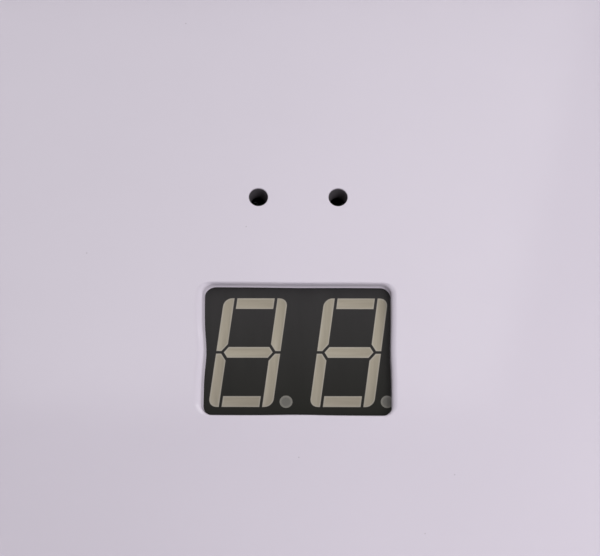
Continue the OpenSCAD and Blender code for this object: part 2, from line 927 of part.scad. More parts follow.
module latch_bush() {
    color(steel)
        difference() {
            union() {
                rod([latch_x, 0], latch_flange_d, latch_front_y + latch_chamfer, front_y);
                translate([latch_x, latch_front_y, 0])
                    rotate([-90, 0, 0])
                        cylinder(d1 = latch_flange_d - 2 * latch_chamfer, d2 = latch_flange_d,
                            h = latch_chamfer);
                rod([latch_x, 0], bush_d, front_y - over, bush_end_y);
            }
            rod([latch_x, 0], plug_d + 2 * plug_clear, latch_front_y - over, bush_end_y + over);
            rod([latch_x, 0], plug_head_d + 2 * plug_head_gap, latch_front_y - over, plug_seat_y);
        }
}

module latch_nut() {
    seat_y = door_in_y + latch_pad_h;
    color(steel)
        plate(seat_y, seat_y + nut_t)
            translate([latch_x, 0])
                difference() {
                    hex(nut_af);
                    circle(d = bush_d + 2 * bush_clear);
                }
}

module latch_plug() {
    color(steel)
        difference() {
            union() {
                rod([latch_x, 0], plug_head_d, latch_front_y, plug_seat_y);
                rod([latch_x, 0], plug_d, plug_seat_y - over, cam_y);
                plate(cam_y - over, cam_y + cam_t)
                    translate([latch_x, 0])
                        square(tang_w, center = true);
            }
            translate([latch_x, latch_front_y, 0])
                cube([slot_w, 2 * slot_d, plug_head_d + over], center = true);
            rod([latch_x, 0], cam_screw_d, cam_y + cam_t - cam_screw_l, cam_y + cam_t + over);
        }
}

module latch_clip() {
    color(steel)
        plate(bush_end_y, bush_end_y + clip_t)
            translate([latch_x, 0])
                difference() {
                    circle(d = clip_d);
                    circle(d = plug_d);
                }
}

// Cam in its open position, with its tongue up
module latch_cam() {
    color(steel)
        plate(cam_y, cam_y + cam_t)
            translate([latch_x, 0])
                difference() {
                    union() {
                        circle(d = cam_hub_d);
                        translate([-cam_w / 2, 0])
                            square([cam_w, cam_l]);
                    }
                    square(tang_w + 2 * tang_clear, center = true);
                }
}

module latch_screw() {
    end_y = cam_y + cam_t;
    color(steel) {
        rod([latch_x, 0], cam_screw_d, end_y - cam_screw_l, end_y + over);
        difference() {
            rod([latch_x, 0], cam_screw_head_d, end_y, end_y + cam_screw_head_h);
            cross_recess([latch_x, end_y + cam_screw_head_h, 0]);
        }
    }
}

// Housing

module rear_housing() {
    color(white)
        difference() {
            union() {
                difference() {
                    mirror([0, 1, 0])
                        rounded_block(house_w, house_h, house_r, back_edge_r, pad_h, housing_d);
                    plate(rim_y - over, floor_y)
                        case_outline(seal_in);
                }
                gasket_channel();
                for (p = wall_holes)
                    rod(p, pad_d, -pad_h - over, 0);
                for (p = supply_holes)
                    rod(p, boss_d, supply_back_y, floor_y + over);
                housing_knuckles();
            }
            for (p = wall_holes)
                rod(p, wall_hole_d, floor_y - over, over);
            for (p = supply_holes)
                rod(p, pilot_d, supply_back_y - over, supply_back_y + screw_grip + over);
            on_gland(gland_z - over, gland_z + housing_wall + over)
                circle(d = gland_d + 2 * gland_clear);
            on_hinge(-case_h, case_h, pin_d + 2 * pin_seat_clear);
        }
}

// Ledge round the inside of the rim with a channel for the gasket
module gasket_channel() {
    difference() {
        plate(rim_y, ledge_y)
            case_ring(seal_in - over, over + channel_w + channel_rib);
        plate(rim_y - over, channel_y)
            case_ring(seal_in, channel_w);
    }
}

module housing_knuckles() {
    for (s = [-1, 1], span = knuckle_spans(s * hinge_z)) {
        on_hinge(span[0], span[1], 2 * knuckle_r);
        hinge_web(span[0], span[1], rim_y, -house_w / 2 + housing_wall / 2);
    }
}

module door_gasket() {
    color(black)
        plate(gasket_y, channel_y)
            case_ring(seal_in + gasket_side_gap, channel_w - 2 * gasket_side_gap);
}

module hinge_pin(z) {
    color(steel) {
        on_hinge(z - hinge_half, z + hinge_half + over, pin_d);
        on_hinge(z + hinge_half, z + hinge_half + pin_head_h, pin_head_d);
    }
}

module hinge_pin_upper() {
    hinge_pin(hinge_z);
}

module hinge_pin_lower() {
    hinge_pin(-hinge_z);
}

// Supply

module supply_board() {
    color(board_green)
        difference() {
            plate(supply_y, supply_back_y)
                translate([0, supply_rise])
                    square([supply_w, supply_h], center = true);
            for (p = supply_holes)
                rod(p, board_hole_d, supply_y - over, supply_back_y + over);
        }
}

module supply_screws() {
    color(steel)
        board_screw_set(supply_holes, supply_y, -1);
}

module supply_converter() {
    color(black)
        plate(supply_y - converter_t, supply_y)
            translate([-supply_w / 2 + supply_side + converter_w / 2,
                supply_rise + supply_h / 2 - supply_end - converter_h / 2])
                rounded_rect(converter_w, converter_h, converter_r);
}

module supply_capacitor() {
    color(tin)
        can([supply_w / 2 - supply_side - cap_d / 2, supply_rise + cap_d / 2],
            supply_y, -1, cap_d, cap_h);
}

module supply_header() {
    color(cream)
        pin_header([-supply_w / 2 + supply_end + header_t / 2, supply_rise - header_w / 2],
            supply_y, -1);
}

module fuse_holder() {
    color(black)
        rod([supply_w / 2 - supply_side - fuse_d / 2,
            supply_rise - supply_h / 2 + fuse_end + fuse_d / 2], fuse_d,
            supply_y - fuse_h, supply_y);
}

module terminal_block() {
    color(terminal_green)
        difference() {
            plate(terminal_y, supply_y)
                translate([0, terminal_z])
                    square([pole_count * pole_pitch, terminal_w], center = true);
            for (p = pole_places) {
                rod(p, terminal_screw_d + 2 * terminal_clear, terminal_y - over,
                    terminal_y + terminal_pit_d);
                translate([p[0], supply_y - entry_w, terminal_z - terminal_w / 2])
                    cube([entry_w, entry_w, 2 * entry_d], center = true);
            }
        }
}

module terminal_screws() {
    foot_y = terminal_y + terminal_pit_d;
    head_y = foot_y - terminal_screw_h;
    color(steel)
        for (p = pole_places)
            difference() {
                rod(p, terminal_screw_d, head_y, foot_y);
                translate([p[0], head_y, p[1]])
                    cube([terminal_screw_d + over, 2 * terminal_slot_d, terminal_slot_w],
                        center = true);
            }
}

// Cable gland

module gland_body() {
    top_z = gland_z + housing_wall + gland_inner_l;
    low_z = gland_z - gland_hex_h - gland_thread_l;
    color(black)
        difference() {
            union() {
                on_gland(low_z, top_z)
                    circle(d = gland_d);
                on_gland(gland_z - gland_hex_h, gland_z)
                    hex(gland_af);
            }
            on_gland(low_z - over, top_z + over)
                circle(d = gland_bore);
        }
}

module gland_lock_nut() {
    seat_z = gland_z + housing_wall;
    color(black)
        on_gland(seat_z, seat_z + lock_nut_t)
            difference() {
                hex(lock_nut_af);
                circle(d = gland_d + 2 * gland_clear);
            }
}

module gland_clamp_nut() {
    low_z = clamp_z - clamp_l;
    color(black)
        difference() {
            intersection() {
                on_gland(low_z, clamp_z)
                    hex(clamp_af);
                on_gland(low_z, clamp_z)
                    circle(d = clamp_d);
            }
            translate([0, gland_y, low_z])
                rotate_extrude()
                    translate([clamp_d / 2, 0])
                        edge_section(clamp_edge_r, -1);
            on_gland(low_z + clamp_end_t, clamp_z + over)
                circle(d = gland_d + 2 * gland_clear);
            on_gland(low_z - over, clamp_z)
                circle(d = clamp_hole_d);
        }
}

module gland_seal() {
    low_z = gland_z - gland_hex_h - gland_thread_l;
    color(black)
        on_gland(low_z, low_z + gland_thread_l)
            difference() {
                circle(d = gland_bore - 2 * seal_clear);
                circle(d = cable_d);
            }
}

front_cover();
display_shell();
display_segments();
decimal_points();
display_pins();
display_board();
display_screws();
indicator_lamp_left();
indicator_lamp_right();
light_shields();
controller_chip();
driver_chip();
chip_resistors();
can_capacitor();
display_header();
latch_bush();
latch_nut();
latch_plug();
latch_clip();
latch_cam();
latch_screw();
rear_housing();
door_gasket();
hinge_pin_upper();
hinge_pin_lower();
supply_board();
supply_screws();
supply_converter();
supply_capacitor();
supply_header();
fuse_holder();
terminal_block();
terminal_screws();
gland_body();
gland_lock_nut();
gland_clamp_nut();
gland_seal();
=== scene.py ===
"""Looks of a two-digit countdown signal head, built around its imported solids.

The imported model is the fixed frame. The operators below give each solid its finish, add the
detail that the solids leave out, and set up the camera, the floor and the light.
"""

import math

import bmesh
import bpy
from bpy.props import FloatProperty, FloatVectorProperty, PointerProperty
from mathutils import Matrix, Vector


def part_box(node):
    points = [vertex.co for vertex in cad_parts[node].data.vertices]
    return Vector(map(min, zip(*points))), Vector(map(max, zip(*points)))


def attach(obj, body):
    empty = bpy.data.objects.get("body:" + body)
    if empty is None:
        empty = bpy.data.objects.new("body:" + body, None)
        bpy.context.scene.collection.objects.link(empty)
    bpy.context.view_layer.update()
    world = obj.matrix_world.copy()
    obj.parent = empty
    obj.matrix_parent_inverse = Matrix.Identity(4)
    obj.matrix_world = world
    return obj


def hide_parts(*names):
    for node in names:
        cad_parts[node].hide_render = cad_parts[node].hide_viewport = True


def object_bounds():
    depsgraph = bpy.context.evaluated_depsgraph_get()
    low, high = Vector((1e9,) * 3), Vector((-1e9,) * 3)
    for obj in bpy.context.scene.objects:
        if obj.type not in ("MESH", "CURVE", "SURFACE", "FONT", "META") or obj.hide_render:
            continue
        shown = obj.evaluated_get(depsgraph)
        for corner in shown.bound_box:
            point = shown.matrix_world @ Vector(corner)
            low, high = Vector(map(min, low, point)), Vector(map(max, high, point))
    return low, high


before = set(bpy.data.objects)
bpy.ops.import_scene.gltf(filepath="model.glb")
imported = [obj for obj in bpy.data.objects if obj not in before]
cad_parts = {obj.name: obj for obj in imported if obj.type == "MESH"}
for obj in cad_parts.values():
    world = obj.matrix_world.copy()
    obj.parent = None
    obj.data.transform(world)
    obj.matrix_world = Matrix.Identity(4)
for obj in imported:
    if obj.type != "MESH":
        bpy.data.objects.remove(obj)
CAD_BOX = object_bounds()

bl_info = {
    "name": "Countdown Signal Head",
    "version": (1, 0, 0),
    "blender": (4, 5, 0),
    "location": "View3D > Sidebar > Signal Head",
    "description": "Finishes and fine detail of a two-digit countdown signal head",
    "category": "Object",
}

MM = 0.001
# Edges that turn by more than this are sharp
SHARP = math.radians(35)
# Faces that turn by less than this are one flat face
FLAT = math.radians(0.3)
# Points closer than these are one point, in a solid and after a cut
JOIN, CUT_JOIN = 1e-6, 1e-7
# Points that differ by less than this are level
LEVEL = 0.01 * MM
# Places of the frame that several pieces are built from
FRONT_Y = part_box("front_cover")[0].y
DISPLAY_LOW, DISPLAY_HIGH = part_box("display_shell")
DISPLAY_MIDDLE = (DISPLAY_LOW + DISPLAY_HIGH) / 2
BOARD_LOW, BOARD_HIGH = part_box("display_board")
SUPPLY_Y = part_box("supply_board")[0].y
LAMPS = ("indicator_lamp_left", "indicator_lamp_right")
# A lamp hole, and how far round its axis its rim and the mouth of its shield reach
HOLE_RADIUS, HOLE_ZONE = 1.2 * MM, 2 * MM
# A lamp's legs from its axis, and the distances between the pins of a header and the legs of a chip
LAMP_LEG, PIN_PITCH, CHIP_PITCH = 1.27 * MM, 2.54 * MM, 1.25 * MM
# How far in from the window's sides their shifts still count, so that they overlap at its corners
CORNER_ZONE = 1.2 * MM
# How far out from the window and behind its inner edge the faces of its lip reach
LIP_OUT, LIP_BEHIND = 0.5 * MM, 0.1 * MM
# Width of the camera's sensor in millimetres
SENSOR = 36
# For each direction, the two axes across it and the axis along it
AXES = {
    "front": (Vector((1, 0, 0)), Vector((0, 0, 1)), Vector((0, -1, 0))),
    "back": (Vector((0, 0, 1)), Vector((1, 0, 0)), Vector((0, 1, 0))),
    "up": (Vector((0, 1, 0)), Vector((-1, 0, 0)), Vector((0, 0, 1))),
}


# Settings


def mm(*values):
    """Lengths that are given in millimetres."""
    return [value * MM for value in values]


def screen(*values):
    """Linear colour of a colour given as it looks on a screen, 0 to 255."""
    shares = [value / 255 for value in values]
    return [share / 12.92 if share <= 0.04045 else ((share + 0.055) / 1.055) ** 2.4 for share in shares]


def number(name, description, default, **extra):
    return FloatProperty(name=name, description=description, default=default, **extra)


def length(name, description, millimetres):
    return number(name, description, millimetres * MM, unit="LENGTH", precision=5)


def lengths(name, description, *millimetres):
    return FloatVectorProperty(name=name, description=description, default=mm(*millimetres),
                               size=len(millimetres), unit="LENGTH", precision=5)


def angle(name, description, degrees):
    return number(name, description, math.radians(degrees), subtype="ANGLE")


def power(name, description, watts):
    return number(name, description, watts, min=0, unit="POWER")


def colour(name, description, *values):
    return FloatVectorProperty(name=name, description=description, default=screen(*values), subtype="COLOR",
                               size=3, min=0, max=1)


SIDE = "Inward shifts at its two ends and in a pinch at its middle, rounding, draft and nose"


class HeadSizes(bpy.types.PropertyGroup):
    """Sizes of the detail that is added to the solids"""

    window_lip: length("Window lip", "How far the door covers the edge of the display module", 1.0)
    window_left: lengths("Window, left", SIDE, -0.14, -0.28, 0.27, 0.8, 0.45, 0.0)
    window_right: lengths("Window, right", SIDE, 0.03, 0.12, 0.1, 0.75, 0.08, 0.0)
    window_head: lengths("Window, head", SIDE, -0.07, 0.03, 0.04, 0.18, 0.06, 0.13)
    window_foot: lengths("Window, foot", SIDE, 0.05, -0.03, 0.08, 0.3, 0.0, 0.0)
    window_corner: length("Window corner", "Corner radius of the window in the solid", 1.1)
    corners: lengths("Corners", "Corner radii: head left, right, foot left, right", 1.5, 1.35, 1.5, 1.0)
    window_edge: length("Window edge", "Rounding of the window's edge in the solid", 0.5)
    pinch: number("Pinch", "Share of half a side that its pinch takes", 0.31, subtype="FACTOR")
    lip_reach: length("Lip reach", "How far from the window its lip reaches", 0.6)
    lip_step: length("Lip step", "Distance between the cuts that let the lip bend", 0.8)
    lip_row: length("Lip row", "Distance between the cuts along the wall of the lip", 0.12)
    lip_wall: length("Lip wall", "Depth at which the wall of the lip starts to curve", 0.5)
    lip_nose: length("Lip nose", "Depth of the lip's inner edge", 1.25)
    hole_rim: length("Hole rim", "Rounding of the lamp holes in the solid", 0.2)
    hole_edge: length("Hole edge", "Rounding of the lamp holes", 0.06)
    shield_mouth: length("Shield mouth", "Radius at the mouth of a light shield", 1.12)
    shield_reach: length("Shield reach", "How far the mouth of a shield reaches out in front", 0.28)
    lens_lap: length("Lens lap", "How far the dark print laps over a segment", 0.06)
    lens_rim: length("Lens rim", "Width of the pale rim of a display segment", 0.16)
    lens_sink: length("Lens sink", "How far the middle of a segment lies behind its rim", 0.03)
    moulded_edge: length("Moulded edge", "Rounding of sharp moulded edges", 0.25)
    turned_edge: length("Turned edge", "Rounding of sharp edges on metal", 0.15)
    small_edge: length("Small edge", "Rounding of sharp edges on small components", 0.10)
    screw_crown: length("Screw crown", "Rounding of the screw heads", 0.8)
    bulb: length("Gasket bulb", "Rounding of the gasket", 1.1)
    track: length("Track", "Width of a signal track", 0.32)
    wide_track: length("Wide track", "Width of a supply track", 1.2)
    copper: length("Copper", "Height of a track above its board", 0.04)
    mark: length("Mark", "Width of the lines printed on the boards", 0.2)
    ink: length("Ink", "Height of the printed lines", 0.015)
    solder: length("Solder", "Height of a solder cone", 0.9)
    metal_pitch: length("Metal thread", "Pitch of the thread on the latch bush", 1.0)
    nylon_pitch: length("Nylon thread", "Pitch of the thread on the cable gland", 1.5)


class HeadColours(bpy.types.PropertyGroup):
    """Colours of the finishes"""

    panel: colour("Panel", "White gloss of the door and the housing", 205, 197, 209)
    dust: colour("Dust", "Specks on the gloss", 180, 172, 183)
    face: colour("Display face", "Printed face of the display", 51, 49, 50)
    # Painted shade: the face's colour at its foot, darker because the light from above falls off downwards
    face_shaded_foot: colour("Display foot", "Lower end of the printed face", 23, 23, 18)
    lens: colour("Segment", "Middle of an unlit segment", 148, 140, 125)
    lens_edge: colour("Segment rim", "Rim of an unlit segment", 159, 152, 141)
    point: colour("Decimal point", "Unlit decimal point", 92, 90, 85)
    point_edge: colour("Point rim", "Paler rim of the decimal points", 110, 107, 101)
    shield: colour("Shield", "Matt black of the light shields", 80, 76, 80)
    board: colour("Board", "Solder resist of the boards", 18, 82, 46)
    track: colour("Track", "Copper under the solder resist", 44, 116, 64)
    steel: colour("Steel", "Turned steel of the latch, pins and screws", 186, 187, 189)
    tin: colour("Tin", "Tinned legs and solder", 196, 196, 194)
    can: colour("Can", "Aluminium of the capacitors", 200, 200, 198)
    black: colour("Black", "Black mouldings", 34, 34, 35)
    chip: colour("Chip", "Epoxy of the chips", 40, 40, 41)
    cream: colour("Cream", "Nylon of the pin headers", 226, 220, 200)
    terminal: colour("Terminal", "Green terminal block", 40, 128, 74)
    rubber: colour("Rubber", "Gasket and cable seal", 32, 32, 32)
    mark: colour("Marks", "Lines printed on the boards", 214, 216, 210)
    floor: colour("Floor", "Pale floor", 208, 208, 210)


class HeadStage(bpy.types.PropertyGroup):
    """Camera, floor and light"""

    lens: number("Lens", "Focal length on a 36 mm sensor", 209.1, unit="CAMERA")
    distance: length("Distance", "From the camera to the point that it looks at", 434)
    aim_right: length("Aim right", "Point looked at, to the right of the display's middle", 0.18)
    aim_up: length("Aim up", "Point looked at, above the display's middle", 9.25)
    tilt: angle("Tilt", "How far the camera looks up", 19.06)
    yaw: angle("Yaw", "Turn of the camera about the vertical", -1.15)
    roll: angle("Roll", "Turn of the camera about its own line", 0.27)
    floor_drop: length("Floor drop", "Floor below the lowest point of the head", 85)
    floor_size: length("Floor size", "Side of the floor", 12000)
    ambient: number("Ambient", "Strength of the light from all round", 0.31)
    backdrop: number("Backdrop", "Brightness of the pale backdrop", 0.58)
    key: number("Key light", "Strength of the soft light on the door", 1.1)
    back: number("Back light", "Strength of the soft light from behind", 1.6)
    spread: angle("Spread", "How soft the lights from the front and behind are", 50)
    card: power("Side card", "Small soft box to the right of the door", 0.112)
    card_spread: angle("Side card spread", "How far the soft box fans out", 100)
    ceiling: power("Ceiling panel", "Panel that shines in the gloss of the door", 1.65)


# Mesh tools


def assign(target, **values):
    """Sets several values of a target and gives it back."""
    for key, value in values.items():
        setattr(target, key, value)
    return target


def linked(name, data):
    """A new object in the scene."""
    made = bpy.data.objects.new(name, data)
    bpy.context.scene.collection.objects.link(made)
    return made


def baked(name, shape):
    """A new object from a bmesh, which is used up."""
    mesh = bpy.data.meshes.new(name)
    shape.to_mesh(mesh)
    shape.free()
    return linked(name, mesh)


def welded(node):
    """A bmesh of a CAD node with its split corners joined and its flat faces whole."""
    shape = bmesh.new()
    shape.from_mesh(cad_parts[node].data)
    bmesh.ops.remove_doubles(shape, verts=shape.verts, dist=JOIN)
    bmesh.ops.dissolve_limit(shape, angle_limit=FLAT, verts=shape.verts, edges=shape.edges)
    return shape


def islands(node):
    """The boxes of a CAD node's separate solids, from left to right and from low to high."""
    shape = welded(node)
    left = set(shape.verts)
    boxes = []
    while left:
        found = [left.pop()]
        for vert in found:
            near = left.intersection(edge.other_vert(vert) for edge in vert.link_edges)
            left -= near
            found.extend(near)
        boxes.append([Vector([pick(vert.co[i] for vert in found) for i in range(3)]) for pick in (min, max)])
    shape.free()
    return sorted(boxes, key=lambda box: (round(box[0].x, 5), round(box[0].z, 5)))


def middle(box):
    return (box[0] + box[1]) / 2


def middles(node):
    """The middles of a CAD node's separate solids."""
    return [middle(box) for box in islands(node)]


def corners_of(faces):
    return dict.fromkeys(vert for face in faces for vert in face.verts)


def footing(node, toward):
    """The box of a CAD node, the middle of the side that it stands on and its height in a direction."""
    low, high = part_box(node)
    spot = middle((low, high))
    axis = 2 if toward == "up" else 1
    spot[axis] = high[axis] if toward == "front" else low[axis]
    return low, high, spot, high[axis] - low[axis]


def spaced(centre, count, pitch):
    """Places at equal distances about a centre."""
    return [centre + (i - (count - 1) / 2) * pitch for i in range(count)]


def skin(shape, rings, closed):
    """Faces between rings of points that follow each other; a ring may be one point."""
    for low, high in zip(rings, rings[1:] + rings[:1] * closed):
        steps = max(len(low), len(high))
        for i in range(steps):
            j = (i + 1) % steps
            ends = (low[i % len(low)], low[j % len(low)], high[j % len(high)], high[i % len(high)])
            corners = list(dict.fromkeys(ends))
            if len(corners) > 2:
                shape.faces.new(corners)


def revolve(shape, rows, place, toward, steps=48, tube=False):
    """Turns rows of height and radius about a direction; a radius may depend on the angle."""
    across, up, along = AXES[toward]
    rings = []
    for height, radius in rows:
        foot = place + along * height
        verts = []
        for i in range(steps if radius else 1):
            turn = 2 * math.pi * i / steps
            out = radius(turn) if callable(radius) else radius
            verts.append(shape.verts.new(foot + (across * math.cos(turn) + up * math.sin(turn)) * out))
        rings.append(verts)
    skin(shape, rings, tube)
    return rings


def turned(rows, place, toward, **extra):
    """A new bmesh of turned rows."""
    shape = bmesh.new()
    revolve(shape, rows, place, toward, **extra)
    return shape


def loft(shape, sections, closed=False):
    """Skins a row of outlines that have the same number of points."""
    rings = [[shape.verts.new(point) for point in section] for section in sections]
    if not closed:
        shape.faces.new(rings[0])
        shape.faces.new(rings[-1])
    skin(shape, rings, closed)


def rectangle(x0, z0, x1, z1, y):
    return [Vector(point) for point in ((x0, y, z0), (x1, y, z0), (x1, y, z1), (x0, y, z1))]


def block(shape, low, high):
    loft(shape, [rectangle(low[0], low[2], high[0], high[2], y) for y in (low[1], high[1])])


def boxed(low, high):
    """A new bmesh of a block."""
    shape = bmesh.new()
    block(shape, low, high)
    return shape


def ribbon(shape, path, width, y, height, closed=False):
    """A flat line on a board through x, z points, with mitred corners."""
    points = [Vector(point) for point in path]
    ways = [(end - start).normalized() for start, end in zip(points, points[1:] + points[:1] * closed)]
    sections = []
    for i, point in enumerate(points):
        near = [ways[i - 1], ways[i]] if closed else ways[max(i - 1, 0):i + 1]
        sides = [Vector((-way.y, way.x)) for way in near]
        side = sum(sides, Vector((0, 0))).normalized()
        reach = side * (width / 2 / side.dot(sides[0]))
        left, right, top = point - reach, point + reach, y + height
        sections.append([Vector((corner.x, level, corner.y)) for corner, level in (
            (left, y), (right, y), (right, top), (left, top))])
    loft(shape, sections, closed)


def chamfered(path, cut):
    """A path with each corner cut off; a short leg keeps a little between its two cuts."""
    points = [Vector(point) for point in path]
    out = [points[0]]
    for before, point, after in zip(points, points[1:], points[2:]):
        for other in (before, after):
            way = other - point
            out.append(point + way.normalized() * min(cut, way.length * 0.45))
    return [*out, points[-1]]


def bridge(start, level, end):
    """A path between two points by way of a level."""
    return [start, (start[0], level), (end[0], level), end]


def ring(shape, place, toward, inner, outer, height):
    revolve(shape, [(0, outer), (height, outer), (height, inner), (0, inner)], place, toward, tube=True)


def level_with(axis, height):
    """A test for edges at a height along an axis."""
    return lambda edge: all(abs(vert.co[axis] - height) < LEVEL for vert in edge.verts)


def round_edges(shape, width, segments, keep):
    """Rounds the sharp edges that a test picks."""
    edges = [edge for edge in shape.edges
             if len(edge.link_faces) == 2 and edge.calc_face_angle(0) > SHARP and keep(edge)]
    bmesh.ops.bevel(shape, geom=edges, offset=width, segments=segments, profile=0.5, affect="EDGES",
                    clamp_overlap=True)


def carved(solid, cutter):
    """A solid with another cut out of it."""
    pair = []
    for shape in (solid, cutter):
        bmesh.ops.recalc_face_normals(shape, faces=shape.faces)
        pair.append(baked("carving", shape))
    assign(pair[0].modifiers.new("cut", "BOOLEAN"), object=pair[1], operation="DIFFERENCE", solver="EXACT")
    result = bmesh.new()
    result.from_object(pair[0], bpy.context.evaluated_depsgraph_get())
    for mesh in [piece.data for piece in pair]:
        bpy.data.meshes.remove(mesh)
    bmesh.ops.remove_doubles(result, verts=result.verts, dist=CUT_JOIN)
    return result


def rounded(tall, radius, edge, degrees):
    """Rows of the rounded end of a turned piece."""
    turns = [math.radians(turn) for turn in degrees]
    return [(tall - edge + edge * math.sin(turn), radius - edge + edge * math.cos(turn)) for turn in turns]


def hexagon(across, limit):
    """Radius of a hexagon across its flats, turned down to a limit."""
    sixth = math.pi / 3
    return lambda turn: min(across / 2 / math.cos((turn + sixth / 2) % sixth - sixth / 2), limit)


def hexagon_rows(low, high, across, least, edge, steps):
    """Rows of a hexagon whose corners are turned down to a least radius at both ends."""
    corner = across / 2 / math.cos(math.pi / 6)
    limits = [hexagon(across, least + (corner - least) * t) for t in steps]
    rows = [(low + edge * t, limit) for t, limit in zip(steps, limits)]
    return rows + [(high - edge * t, limit) for t, limit in reversed(list(zip(steps, limits)))]


def thread(radius, depth, pitch, low, high):
    """Rows of a screw thread between two heights, run out at both ends."""
    # Rows in one turn of the thread
    samples = 8
    count = round((high - low) / pitch * samples)
    rows = []
    for i in range(count + 1):
        height = low + (high - low) * i / count
        cut = depth * min(1, i / samples, (count - i) / samples)
        def wave(turn, height=height, cut=cut):
            return radius - cut * abs(2 * ((height / pitch - turn / (2 * math.pi)) % 1) - 1)
        rows.append((height, wave))
    return rows


# Pieces


def add_piece(name, shape, body, slot, finish=None, replaces=()):
    """Turns a bmesh into a piece that rides on a body."""
    bmesh.ops.recalc_face_normals(shape, faces=shape.faces)
    piece = baked(name, shape)
    mesh = piece.data
    # Normals that came with a solid no longer fit its reworked faces
    if "custom_normal" in mesh.attributes:
        mesh.attributes.remove(mesh.attributes["custom_normal"])
    mesh.shade_smooth()
    mesh.set_sharp_from_angle(angle=SHARP)
    mesh.materials.append(FINISHES[finish or slot])
    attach(piece, body)
    if replaces:
        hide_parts(*replaces)
    return piece


def weigh_normals(piece):
    """Keeps flat faces flat where they run into rounded edges."""
    assign(piece.modifiers.new("flat_faces", "WEIGHTED_NORMAL"), keep_sharp=True, weight=90)


def soften(piece, width):
    """Rounds the sharp edges of a piece or CAD node."""
    add = piece.modifiers.new
    assign(add("join_corners", "WELD"), merge_threshold=JOIN)
    assign(add("whole_faces", "DECIMATE"), decimate_type="DISSOLVE", angle_limit=FLAT)
    assign(add("round_edges", "BEVEL"), limit_method="ANGLE", angle_limit=SHARP, width=width, segments=2)
    weigh_normals(piece)


def dress(node, finish, edge):
    """Gives a CAD node its finish and rounds its sharp edges."""
    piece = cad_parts[node]
    piece.data.materials.clear()
    piece.data.materials.append(FINISHES[finish])
    soften(piece, edge)


# Finishes

FINISHES = {}


def shade(base, factor):
    return tuple(min(1.0, value * factor) for value in base)


class Nodes:
    """A node tree whose nodes are added by short calls"""

    def __init__(self, tree):
        self.tree = tree

    def fill(self, node, inputs):
        for key, value in inputs.items():
            if isinstance(value, bpy.types.NodeSocket):
                self.tree.links.new(value, node.inputs[key])
            else:
                node.inputs[key].default_value = value

    def node(self, kind, inputs, output=0, **settings):
        """Adds a node and gives one of its outputs."""
        made = assign(self.tree.nodes.new("ShaderNode" + kind), **settings)
        self.fill(made, inputs)
        return made.outputs[output]


class Finish(Nodes):
    """A material made of such nodes"""

    def __init__(self, name):
        self.material = bpy.data.materials.new(name)
        self.material.use_nodes = True
        super().__init__(self.material.node_tree)
        self.shader = self.tree.nodes["Principled BSDF"]

    def set(self, **inputs):
        """Sets sockets of the shader, named with _ for a space, and gives the material."""
        self.fill(self.shader, {key.replace("_", " "): value for key, value in inputs.items()})
        return self.material

    def place(self, stretch=(1, 1, 1), centre=(0, 0, 0)):
        """The place on the piece, in metres, stretched along the axes about a centre."""
        where = self.node("TexCoord", {}, "Object")
        moved = self.node("VectorMath", {0: where, 1: centre}, operation="SUBTRACT")
        return self.node("VectorMath", {0: moved, 1: stretch}, operation="MULTIPLY")

    def by_height(self, low, high, bottom, top):
        """A value that goes from low at a bottom height to high at a top height."""
        height = self.node("SeparateXYZ", {0: self.place()}, "Z")
        return self.ranged(height, low, high, bottom, top)

    def attribute(self, name):
        return self.node("Attribute", {}, "Fac", attribute_name=name)

    def noise(self, scale, detail=2.0, stretch=(1, 1, 1)):
        return self.node("TexNoise", {"Vector": self.place(stretch), "Scale": scale, "Detail": detail})

    def wave(self, scale, distortion, detail=2.0, centre=(0, 0, 0), **settings):
        return self.node("TexWave", {"Vector": self.place(centre=centre), "Scale": scale,
                                     "Distortion": distortion, "Detail": detail}, 1, **settings)

    def ranged(self, value, low, high, from_low=0.3, from_high=0.7):
        return self.node("MapRange", {"Value": value, "From Min": from_low, "From Max": from_high,
                                      "To Min": low, "To Max": high})

    def product(self, first, second):
        return self.node("Math", {0: first, 1: second}, operation="MULTIPLY")

    def mix(self, factor, *ends):
        first, second = (end if isinstance(end, bpy.types.NodeSocket) else (*end, 1) for end in ends)
        return self.node("Mix", {0: factor, 6: first, 7: second}, 2, data_type="RGBA")

    def tones(self, factor, base, low, high):
        """A colour between two shades of a base."""
        return self.mix(factor, shade(base, low), shade(base, high))

    def scaled(self, colour, factor):
        return self.node("VectorMath", {0: colour, "Scale": factor}, operation="SCALE")

    def bump(self, height, depth):
        """Relief of a depth in millimetres."""
        return self.node("Bump", {"Height": height, "Strength": 1.0, "Distance": depth * MM})


def moulded(name, base, rough, grain, depth, spread, **extra):
    """Moulded plastic: soft colour patches, uneven gloss and a fine grain."""
    made = Finish(name)
    patches = made.ranged(made.noise(60, 3), 0, 1)
    return made.set(Base_Color=made.tones(patches, base, 1 - spread, 1 + spread),
                    Roughness=made.ranged(made.noise(grain / 3), rough * 0.85, rough * 1.2),
                    Normal=made.bump(made.noise(grain, 3), depth), **extra)


def worked_metal(name, base, rough, stretch, depth):
    """Metal with its tool marks stretched along one direction."""
    made = Finish(name)
    marks = made.noise(900, 3, stretch)
    return made.set(Base_Color=made.tones(made.ranged(marks, 0, 1), base, 0.9, 1.08), Metallic=1.0,
                    Roughness=made.ranged(made.noise(500, 2, stretch), rough * 0.75, rough * 1.3),
                    Normal=made.bump(marks, depth))


def turned_metal(name, base, rough, centre):
    """Metal faced on a lathe, with rings about the depth axis through a centre."""
    made = Finish(name)
    rings = made.wave(900, 1.5, 3, centre, wave_type="RINGS", rings_direction="Y")
    wear = made.noise(260, 4)
    return made.set(Base_Color=made.tones(made.ranged(wear, 0, 1), base, 0.92, 1.06), Metallic=1.0,
                    Roughness=made.ranged(wear, rough * 0.8, rough * 1.3),
                    Normal=made.bump(rings, 0.004))


